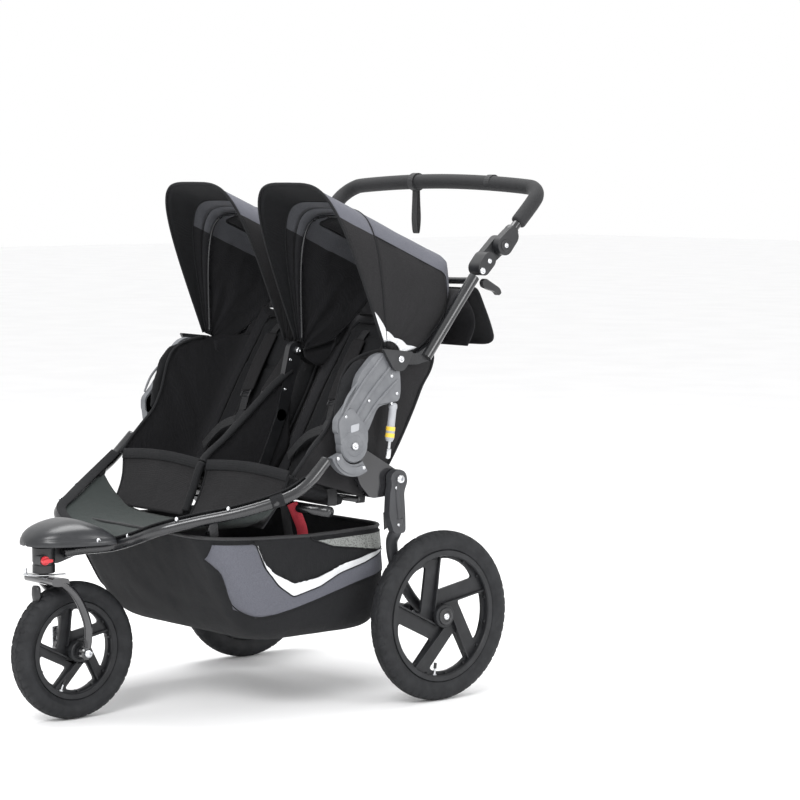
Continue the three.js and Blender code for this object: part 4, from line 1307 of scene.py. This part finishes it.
def seat_back(side, sign):
    outline = rounded([(28, 22), (306, 22), (310, 250), (296, 440), (40, 440), (24, 250)], 34, 6)
    ahead = seat_ahead()
    pad = make(f"seat_back_pad_{side}", cushion([seat_place(sign, p.x, p.y, -1) for p in outline], 17, ahead),
               "black_fabric", replaces=[f"seat_back_{side}"])
    inflate(pad, 8)
    lines = []
    for x0, a0, x1, a1 in ((86, 70, 74, 400), (248, 70, 258, 400), (74, 400, 258, 400), (86, 70, 248, 70),
                           (60, 300, 272, 300)):
        lines.append((seat_place(sign, x0, a0, 0), seat_place(sign, x1, a1, 0), ahead))
    stitch_in(pad, lines, 7, 6)
    subdivide(pad)
    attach(pad, f"seat_{side}")
    rows = []
    for i in range(25):
        along = 14 + 446 * i / 24
        row = []
        for j in range(31):
            across = 2 * j / 30 - 1
            wrap = 24 * abs(across) ** 8
            sag = 3 * noise.noise(Vector((across * 3, along * 0.008, sign * 3)))
            row.append(seat_place(sign, SEAT_X - 3 + SHELL_HALF * across, along, -15 + wrap + sag))
        rows.append(row)
    shell = make(f"seat_back_shell_{side}", grid(rows), "black_fabric", looks=[LINING], weld=False)
    thicken(shell, 2.4)
    flat_size(rows)[:2]
    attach(shell, f"seat_{side}")
    edge = [seat_place(sign, p.x, p.y, 3) for p in outline[::2]]
    make(f"seat_back_piping_{side}", tube(edge, 3.2, 10, 3, loop=True), "black_fabric", f"seat_{side}")


def seat_base(side, sign):
    """The seat's cushion with its rolled front edge, and the calf panel below it."""
    back, front = (-218, 462), (-388, 528)
    slope = Vector((0, front[0] - back[0], front[1] - back[1])).normalized()
    up = Vector((0, slope.z, -slope.y))

    def spot(x, share, lift=0):
        y = back[0] + (front[0] - back[0]) * share
        z = back[1] + (front[1] - back[1]) * share
        return at(sign * x, y, z) + up * lift * MM

    outline = [(22, 0.06), (40, 0.0), (290, 0.0), (308, 0.06), (309, 0.92), (296, 1.03), (165, 1.07),
               (34, 1.03), (21, 0.92)]
    pad = make(f"seat_pad_{side}", cushion([spot(x, s, 2) for x, s in outline], 17, up), "black_fabric",
               replaces=[f"seat_base_{side}"])
    inflate(pad, 8)
    stitch_in(pad, [(spot(30, 0.3), spot(300, 0.3), up), (spot(30, 0.72), spot(300, 0.72), up)], 6, 6)
    subdivide(pad)
    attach(pad, "chassis")
    rows = []
    for i in range(21):
        share = i / 20
        y = -398 - 50 * share + 9 * math.sin(math.pi * share)
        z = 538 - 112 * share
        row = []
        for j in range(31):
            k = j / 30
            sag = 5 * math.sin(math.pi * k) * math.sin(math.pi * share)
            ripple = 1.6 * noise.noise(Vector((k * 5, share * 3, sign * 2)))
            x = 16 + (300 - 30 * share) * k
            row.append(at(sign * x, y - sag - ripple, z + 8 * math.sin(math.pi * k) * (1 - share)))
        rows.append(row)
    calf = make(f"calf_panel_{side}", facing_out(grid(rows), at(sign * 160, 0, 480)), "grey_fabric",
                "chassis", looks=[CHARCOAL], weld=False)
    thicken(calf, 3)
    flat_size(rows)[:2]
    band = [rows[0][j] + Vector((0, -1, 2)) * MM for j in range(0, 31, 3)]
    make(f"seat_front_band_{side}", strap(band, 24, 4, Vector((0, -0.95, 0.3)), 3), "black_fabric", "chassis",
         sharp=50)
    for j, tag in ((0, "inner"), (30, "outer")):
        line = [row[j] for row in rows[::4]]
        make(f"calf_piping_{side}_{tag}", tube(line, 3, 10, 3), "black_fabric", "chassis")


def divider():
    """The padded spine between the seats, running down over their front edge."""
    spine = [(-142, 742), (-190, 712), (-240, 672), (-291, 630), (-340, 592), (-384, 562), (-406, 536),
             (-426, 486), (-448, 436)]
    line = [at(0, *p) for p in spine]
    roll = tube(line, 11, 20, 8, 0.7, up=Vector((0, 0.6, 0.8)),
                swell=lambda t: 1.0 + 0.25 * math.sin(9 * t) * 0.2)
    piece = make("seat_spine", roll, "black_fabric", "chassis")
    low = [(-150, 560), (-196, 500), (-230, 474), (-290, 490), (-340, 508), (-380, 520), (-404, 520),
           (-424, 480), (-446, 434)]
    rows = web(smooth_side(spine, 4), smooth_side(low, 4),
               lambda y, k: 2.5 * noise.noise(Vector((k, y * 0.02, 0))))
    wall = make("seat_divider", grid(rows), "black_fabric", "chassis", weld=False, looks=[LINING])
    thicken(wall, 3)
    declare(wall, rows)


def side_wall(side, sign):
    """The sewn side of the seat, from the lower tube up to the canopy."""
    front = [(-398, 540), (-352, 590), (-300, 640), (-272, 700), (-258, 752), (-222, 790), (-150, 806)]
    rear = [(-200, 480), (-150, 520), (-104, 580), (-62, 650), (-24, 722), (8, 768), (4, 806)]
    rows = []
    for a, b in zip(smooth_side(front, 6), smooth_side(rear, 6)):
        row = []
        for k in range(33):
            share = k / 32
            y, z = a.y + (b.y - a.y) * share, a.z + (b.z - a.z) * share
            fold = 3.2 * noise.noise(Vector((y * 0.03 + z * 0.012, z * 0.006, sign)))
            x = 331 + 6 * max(0, math.sin(math.pi * share)) ** 0.5 + fold
            row.append(at(sign * min(x, 340), y, z))
        rows.append(row)
    wall = make(f"seat_side_{side}", facing_out(grid(rows), at(sign * 200, -200, 650)), "black_fabric",
                "chassis", looks=[CHARCOAL, LINING], weld=False)
    thicken(wall, 2.4, 1)
    declare(wall, rows)
    for name, end in (("seat_side_binding", -1), ("seat_side_front_binding", 0)):
        edge = [row[end] for row in rows[::4]]
        make(f"{name}_{side}", tube(edge, 4, 12, 3), "black_fabric", "chassis")


def bolster(side, sign):
    """The padded roll beside a child's head."""
    outline = rounded([(-300, 636), (-292, 700), (-272, 754), (-242, 786), (-204, 794), (-196, 744),
                       (-226, 690), (-262, 640)], 14)
    pad = make(f"bolster_pad_{side}", slab(outline, 344, 354, sign=sign), "black_fabric",
               replaces=[f"side_bolster_{side}"])
    inflate(pad, 4, 5)
    subdivide(pad)
    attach(pad, "chassis")
    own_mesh(pad)


def pad_swell(t):
    """A shoulder pad is narrower towards its ends."""
    return 0.86 + 0.14 * max(0, math.sin(math.pi * t)) ** 0.4


def harness(side, sign):
    """Shoulder straps with pads, lap straps, a crotch strap and the buckle."""
    buckle = seat_place(sign, SEAT_X, 150, 42)
    up = seat_ahead()
    for tag, x in (("inner", SEAT_X - 55), ("outer", SEAT_X + 55)):
        lean = 22 if tag == "inner" else -22
        top = [seat_place(sign, x, 412, 14), seat_place(sign, x, 380, 22),
               seat_place(sign, x + lean * 0.2, 300, 27), seat_place(sign, x + lean * 0.8, 220, 34),
               seat_place(sign, SEAT_X - math.copysign(14, lean), 165, 42)]
        make(f"shoulder_strap_{side}_{tag}", strap(top, 24, 1.8, up), "webbing", f"seat_{side}", sharp=50)
        sleeve = [p + up * 2.2 * MM for p in smooth_line(top[1:4], 4)]
        shape = tube(sleeve, 23, 20, 3, 0.26, up=up, swell=pad_swell)
        pad = make(f"shoulder_pad_{side}_{tag}", shape, "black_fabric", looks=[CHARCOAL])
        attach(pad, f"seat_{side}")
        slider = seat_place(sign, x + lean * 0.8, 214, 36)
        make(f"strap_slider_{side}_{tag}", slider_frame(slider, up), "black_plastic", f"seat_{side}",
             edge=0.8)
        lap = [buckle, seat_place(sign, SEAT_X + (x - SEAT_X) * 1.2, 120, 44),
               seat_place(sign, SEAT_X + (x - SEAT_X) * 2.2, 70, 30)]
        make(f"lap_strap_{side}_{tag}", strap(lap, 24, 1.8, up), "webbing", f"seat_{side}", sharp=50)
    clasp = [(-20, -15), (20, -15), (24, 0), (20, 15), (-20, 15), (-24, 0)]
    shell = [buckle + Vector((x, 0, 0)) * MM + up.cross(Vector((1, 0, 0))) * z * MM for x, z in clasp]
    make(f"buckle_{side}", cushion(shell, 12, up), "black_plastic", f"seat_{side}", edge=3)
    crotch = [buckle, seat_place(sign, SEAT_X, 96, 62), seat_place(sign, SEAT_X, 62, 66),
              seat_place(sign, SEAT_X, 42, 48)]
    make(f"crotch_strap_{side}", strap(crotch, 24, 1.8, up), "webbing", f"seat_{side}", sharp=50)


def slider_frame(middle, up):
    """A three-bar strap slider."""
    right = Vector((1, 0, 0))
    along = up.cross(right)

    def bar(x0, a0, x1, a1, radius):
        ends = [middle + right * x * MM + along * a * MM for x, a in ((x0, a0), (x1, a1))]
        return tube(ends, radius, 8, 1)

    bars = [bar(-15, a, 15, a, 2.2) for a in (-9, 0, 9)] + [bar(x, -10, x, 10, 2.4) for x in (-15, 15)]
    return combine(*bars)


make("seat_hinge_rod", tube([at(-311, *SEAT_PIVOT), at(311, *SEAT_PIVOT)], 7, 20, 1), "frame_black",
     "seat_carrier", ["seat_hinge_bar"])
for side, sign in SIDES:
    seat_back(side, sign)
    seat_base(side, sign)
    side_wall(side, sign)
    bolster(side, sign)
    harness(side, sign)
divider()

# ---------------------------------------------------------------- footwell

FLOOR_Z = 408             # the cloth's middle at its front end; it rises 8 mm towards the seats


def footwell():
    """The floor cloth slung between the lower tubes, turned over them and snapped."""
    stations = smooth_line([Vector(p) for p in SIDE_TUBE[2:9]], 6)
    rows = []
    for i, (x, y, z) in enumerate(stations):
        share = i / (len(stations) - 1)
        if y > -436:
            break
        edge_x, edge_z = max(x - 4, 60), z + 12
        row = []
        for k in range(41):
            across = 2 * k / 40 - 1
            lift = abs(across) ** 5
            floor_z = FLOOR_Z + 8 * share
            sag = 2 * noise.noise(Vector((across * 3, y * 0.01, 4)))
            row.append(at(edge_x * across, y, floor_z + (edge_z - floor_z) * lift + sag * (1 - lift)))
        rows.append(row)
    floor_cloth = make("footwell_cloth", facing_out(grid(rows), at(0, -560, 0)), "grey_fabric", "chassis",
                       ["footwell"], looks=[FLOOR_CLOTH], weld=False)
    thicken(floor_cloth, 2)
    declare(floor_cloth, rows)
    for side, sign in SIDES:
        line = [at(sign * (x - 7), y, z + 13) for x, y, z in SIDE_TUBE[2:9]]
        make(f"tube_binding_{side}", strap(line, 22, 3, Vector((-sign * 0.5, 0, 0.85)), 10), "black_fabric",
             "chassis", sharp=50)
        wrap = [at(sign * x, y, z) for x, y, z in ((340, -466, 488.5), (347, -453, 493), (355, -441, 497.5))]
        make(f"tube_wrap_{side}", tube(wrap, 15, 24, 4), "black_fabric", "chassis")
        snaps = []
        for x, y, z in ((112, -686, 415), (222, -634, 458), (290, -545, 480)):
            snaps.append(disc(at(sign * (x + 4), y - 2, z - 2), 5, 0, sign * 4, 1, 24))
        make(f"snaps_{side}", combine(*snaps), "bright_steel", "chassis")


footwell()

# ---------------------------------------------------------------- basket

BAG_BASE, BAG_TOP = 160, 398
NEAR_WALL = 0.15          # metres: a ray that gets further in than this has passed through the bag
BASKET_LEVELS = [(205, -395, -140, 160), (252, -440, -108, 170), (280, -478, -88, 198), (288, -515, -80, 250),
                 (292, -545, -80, 300), (292, -572, -82, 350), (288, -596, -84, 398)]
GREY_LOWER = [(-616, 414), (-576, 370), (-543, 329), (-524, 284), (-504, 249), (-463, 228), (-408, 230),
              (-360, 239), (-254, 264), (-120, 296), (-80, 306)]
GREY_UPPER = [(-477, 430), (-476, 404), (-449, 342), (-408, 294), (-366, 267), (-289, 284), (-232, 307),
              (-160, 325), (-80, 356)]
SILVER_UPPER = [(-477, 430), (-470, 404), (-452, 356), (-424, 326), (-394, 310), (-366, 298), (-325, 300),
                (-289, 308), (-254, 317), (-232, 325), (-160, 341), (-118, 350), (-80, 358)]
MESH_LOWER = [(-320, 400), (-310, 389), (-254, 369), (-120, 350), (-80, 346)]
BAG_MIDDLE = at(0, -300, 300)
TOP_EDGE = [(-620, 416), (-476, 405), (-310, 398), (-100, 402)]


def basket_ring(half, front, rear, z, count=240, corner=62):
    """A level ring with round corners, evenly spaced."""
    points = []
    for cx, cy, start in ((half - corner, rear - corner, 0), (-half + corner, rear - corner, 90),
                          (-half + corner, front + corner, 180), (half - corner, front + corner, 270)):
        for k in range(13):
            a = math.radians(start + 90 * k / 12)
            points.append(Vector((cx + corner * math.cos(a), cy + corner * math.sin(a), z)))
    lengths = [(b - a).length for a, b in zip(points, points[1:] + points[:1])]
    total, result, index, run = sum(lengths), [], 0, 0.0
    for k in range(count):
        target = total * k / count
        while run + lengths[index] < target:
            run += lengths[index]
            index += 1
        share = (target - run) / lengths[index]
        result.append(points[index].lerp(points[(index + 1) % len(points)], share))
    return result


def gathered(x, y, z, top):
    """Whether a place on the bag belongs to its elasticated side pocket."""
    return abs(x) > 225 and interpolate(SILVER_UPPER, y) < z < top - 13


def basket():
    """The cargo bag: black with grey side panels, a silver curve and a gathered pocket."""
    levels = smooth_line([Vector((h, f, r)) for h, f, r, _ in BASKET_LEVELS], 10)
    heights = smooth_line([Vector((0, 0, z)) for *_, z in BASKET_LEVELS], 10)
    rings = []
    for level, height in zip(levels, heights):
        share = (height.z - BAG_BASE) / (BAG_TOP - BAG_BASE)
        ring = []
        for p in basket_ring(level.x, level.y, level.z, height.z):
            top = interpolate(TOP_EDGE, p.y)
            z = BAG_BASE + (top - BAG_BASE) * share
            outward = Vector((p.x / level.x, (p.y + 320) / 260, 0)).normalized()
            broad = noise.noise(Vector((p.x * 0.008, p.y * 0.008, z * 0.012)))
            bulge = 5 * broad * math.sin(math.pi * share)
            bulge += 1.6 * noise.noise(Vector((p.x * 0.03, p.y * 0.03, z * 0.02)))
            if gathered(p.x, p.y, z, top):
                gather = min(1, (top - 10 - z) / 40)
                bulge += 2.6 * math.sin(p.y * 0.42) * max(0.25, gather)
            ring.append(at(p.x, p.y, z) + outward * bulge * MM)
        rings.append(ring)
    floor_rings = []
    for shrink in (0.0, 0.35, 0.7):
        floor_rings.append([at(0, -267, 157).lerp(p, shrink) - Vector((0, 0, 4 * (1 - shrink))) * MM
                            for p in rings[0]])
    skin_rings = floor_rings + rings
    corners, faces = loft(skin_rings, ends=False)
    bag = make("cargo_bag", facing_out((corners, faces), at(0, -300, 280)), "black_fabric",
               looks=[LOOKS["black_fabric"], LINING], weld=False, replaces=["basket"])
    thicken(bag, 2, 1)
    skin = bvhtree.BVHTree.FromPolygons(corners, faces)
    squash_to(bag)
    band = tube(rings[-1][::4], 4, 12, 2, loop=True)
    squash_to(make("cargo_bag_band", band, "webbing"))
    mesh_top = [(y, z - 12) for y, z in TOP_EDGE]
    panels = (("grey", GREY_LOWER, GREY_UPPER, -572, -82, "grey_fabric"),
              ("silver", GREY_UPPER, SILVER_UPPER, -474, -100, "reflective_fabric"),
              ("mesh", MESH_LOWER, mesh_top, -318, -86, "mesh_fabric"))
    for side, sign in SIDES:
        for tag, low, high, front, rear, slot in panels:
            rows = bag_panel(skin, sign, low, high, front, rear, 3.2 if tag == "silver" else 2.2)
            panel = make(f"cargo_{tag}_{side}", facing_out(grid(rows), BAG_MIDDLE), slot, weld=False)
            thicken(panel, 1)
            declare(panel, rows)
            squash_to(panel)
            edges = [tube(rows[0][::3], 1.4, 8, 2), tube(rows[-1][::3], 1.4, 8, 2)]
            squash_to(make(f"cargo_{tag}_stitching_{side}", combine(*edges), "black_fabric"))


def bag_panel(skin, sign, low, high, front, rear, proud, steps=72):
    """Rows between two height tables, laid on the bag's skin from outside."""
    columns = []
    for i in range(steps + 1):
        y = front + (rear - front) * i / steps
        bottom, top = interpolate(low, y), min(interpolate(high, y), interpolate(TOP_EDGE, y) - 12)
        top = max(top, bottom + 0.4)
        column = []
        for j in range(17):
            start = at(sign * 500, y, bottom + (top - bottom) * j / 16)
            hit, normal, _, _ = skin.ray_cast(start, Vector((-sign, 0, 0)))
            if hit is None or hit.x * sign < NEAR_WALL:
                break
            normal = normal if normal.x * sign > 0 else -normal
            column.append(hit + normal * proud * MM)
        if len(column) == 17:
            columns.append(column)
    return [[column[j] for column in columns] for j in range(17)]


def squash_to(piece):
    """Applies a piece of the bag's modifiers and attaches it to the chassis, with a mesh of its own."""
    apply_modifiers(piece)
    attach(piece, "chassis")
    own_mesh(piece)


def bag_straps():
    """Webbing that hangs the bag from the frame, the red fold strap, and tabs under the seat."""
    for side, sign in SIDES:
        rear = [at(sign * 296, -96, 398), at(sign * 304, -104, 420), at(sign * 312, -112, 440)]
        front = [at(sign * 262, -560, 412), at(sign * 268, -566, 432), at(sign * 272, -570, 446)]
        for tag, line in (("rear", rear), ("front", front)):
            make(f"bag_hanger_{side}_{tag}", strap(line, 24, 2, Vector((sign, 0, 0.2))), "webbing", "chassis",
                 sharp=50)
        for k, y in enumerate((-262, -180)):
            tab = [at(sign * 300, y, 500), at(sign * 302, y, 478), at(sign * 300, y, 462)]
            make(f"seat_tab_{side}_{k}", strap(tab, 26, 2.4, Vector((sign, 0, 0))), "webbing", "chassis",
                 sharp=50)
    pull = [at(230, -320, 466), at(228, -306, 440), at(226, -290, 408), at(225, -284, 380)]
    make("fold_strap", strap(pull, 24, 2.4, Vector((0.8, -0.6, 0))), "webbing", "chassis", looks=[RED_TAPE],
         sharp=50)
    beside = [at(214, -330, 466), at(210, -322, 436), at(206, -314, 404), at(205, -308, 384)]
    make("fold_strap_guide", strap(beside, 20, 2, Vector((0.8, -0.6, 0))), "webbing", "chassis", sharp=50)
    loop = [at(322, -300, 560), at(326, -314, 578), at(328, -310, 594), at(326, -298, 590),
            at(322, -290, 566)]
    make("fold_loop", strap(loop, 10, 2, Vector((0.3, 0.8, 0.2)), loop=True), "webbing", "chassis",
         looks=[RED_TAPE], sharp=50)


basket()
bag_straps()

# ---------------------------------------------------------------- rear pocket

POCKET = [(142, 938), (158, 930), (178, 892), (198, 850), (207, 822), (206, 806)]


def rear_pocket():
    """The storage pocket's flap, hung from the back rail, with rounded lower corners."""
    line = smooth_side(POCKET, 5)
    rows = []
    for i, p in enumerate(line):
        share = i / (len(line) - 1)
        half = 318 - 26 * max(0, (share - 0.72) / 0.28) ** 3
        row = []
        for k in range(61):
            across = 2 * k / 60 - 1
            fold = 2.5 * noise.noise(Vector((across * 4, share * 2.5, 7))) * math.sin(math.pi * share)
            droop = 5 * math.cos(across * math.pi / 2) * share
            row.append(at(half * across, p.y + fold, p.z - droop))
        rows.append(row)
    flap = make("pocket_flap", grid(rows), "black_fabric", "upper_frame", ["rear_pocket"], weld=False)
    thicken(flap, 3)
    declare(flap, rows, "hung", rests_on=["back_crossbar"])
    inner = []
    for i in range(13):
        share = i / 12
        row = []
        for k in range(41):
            across = 2 * k / 40 - 1
            y = 128 + 52 * share - 30 * share * share + 26 * math.sin(math.pi * share)
            row.append(at(300 * across, y - 6, 930 - 128 * share))
        inner.append(row)
    bag = make("pocket_pouch", grid(inner), "black_fabric", "upper_frame", looks=[LINING], weld=False)
    thicken(bag, 2)
    declare(bag, inner, "hung")
    edge = [row[0] for row in rows] + rows[-1][1:-1] + [row[-1] for row in rows[::-1]]
    make("pocket_binding", tube(edge[::2], 3, 10, 2), "black_fabric", "upper_frame")


rear_pocket()

# ---------------------------------------------------------------- setting

def floor():
    mesh = bpy.data.meshes.new("floor")
    reach = 30
    mesh.from_pydata([(-reach, -reach, 0), (reach, -reach, 0), (reach, reach, 0), (-reach, reach, 0)], [],
                     [(0, 1, 2, 3)])
    ground = bpy.data.objects.new("floor", mesh)
    bpy.context.scene.collection.objects.link(ground)
    pale = blank("floor", (0.95, 0.95, 0.955), 0.8)
    tint(pale, (0.94, 0.94, 0.945), (0.97, 0.97, 0.975), speckle(pale, 400, 2))
    mesh.materials.append(pale)


def soft_light(name, place, target, size, watts):
    lamp = bpy.data.lights.new(name, "AREA")
    lamp.shape = "DISK"
    lamp.size = size
    lamp.energy = watts
    lamp_object = bpy.data.objects.new(name, lamp)
    lamp_object.location = place
    lamp_object.rotation_euler = (Vector(target) - Vector(place)).to_track_quat("-Z", "Y").to_euler()
    bpy.context.scene.collection.objects.link(lamp_object)


def studio():
    world = bpy.data.worlds.new("studio")
    world.use_nodes = True
    world.node_tree.nodes["Background"].inputs["Color"].default_value = (1, 1, 1, 1)
    world.node_tree.nodes["Background"].inputs["Strength"].default_value = 1.0
    bpy.context.scene.world = world
    bpy.context.scene.view_settings.view_transform = "Standard"
    soft_light("key", (2.2, -3.4, 3.4), (0, 0, 0.5), 2.2, 130)
    soft_light("side", (3.8, 1.2, 1.8), (0, 0, 0.6), 1.8, 50)
    soft_light("top", (-0.6, 0.4, 4.0), (0, 0, 0.4), 2.6, 120)


AZIMUTH = 49.62      # degrees: the camera looks from the front left-hand side
ELEVATION = 4.93
LENS = 122.2
EYE = (4.9887, -3.7714, 1.2188)       # metres


def camera():
    a, e = math.radians(AZIMUTH), math.radians(ELEVATION)
    look = Vector((-math.sin(a) * math.cos(e), math.cos(a) * math.cos(e), -math.sin(e)))
    eye_data = bpy.data.cameras.new("camera")
    eye_data.lens = LENS
    eye_data.clip_end = 100
    eye = bpy.data.objects.new("camera", eye_data)
    eye.location = EYE
    eye.rotation_euler = look.to_track_quat("-Z", "Y").to_euler()
    bpy.context.scene.collection.objects.link(eye)
    bpy.context.scene.camera = eye


floor()
studio()
camera()
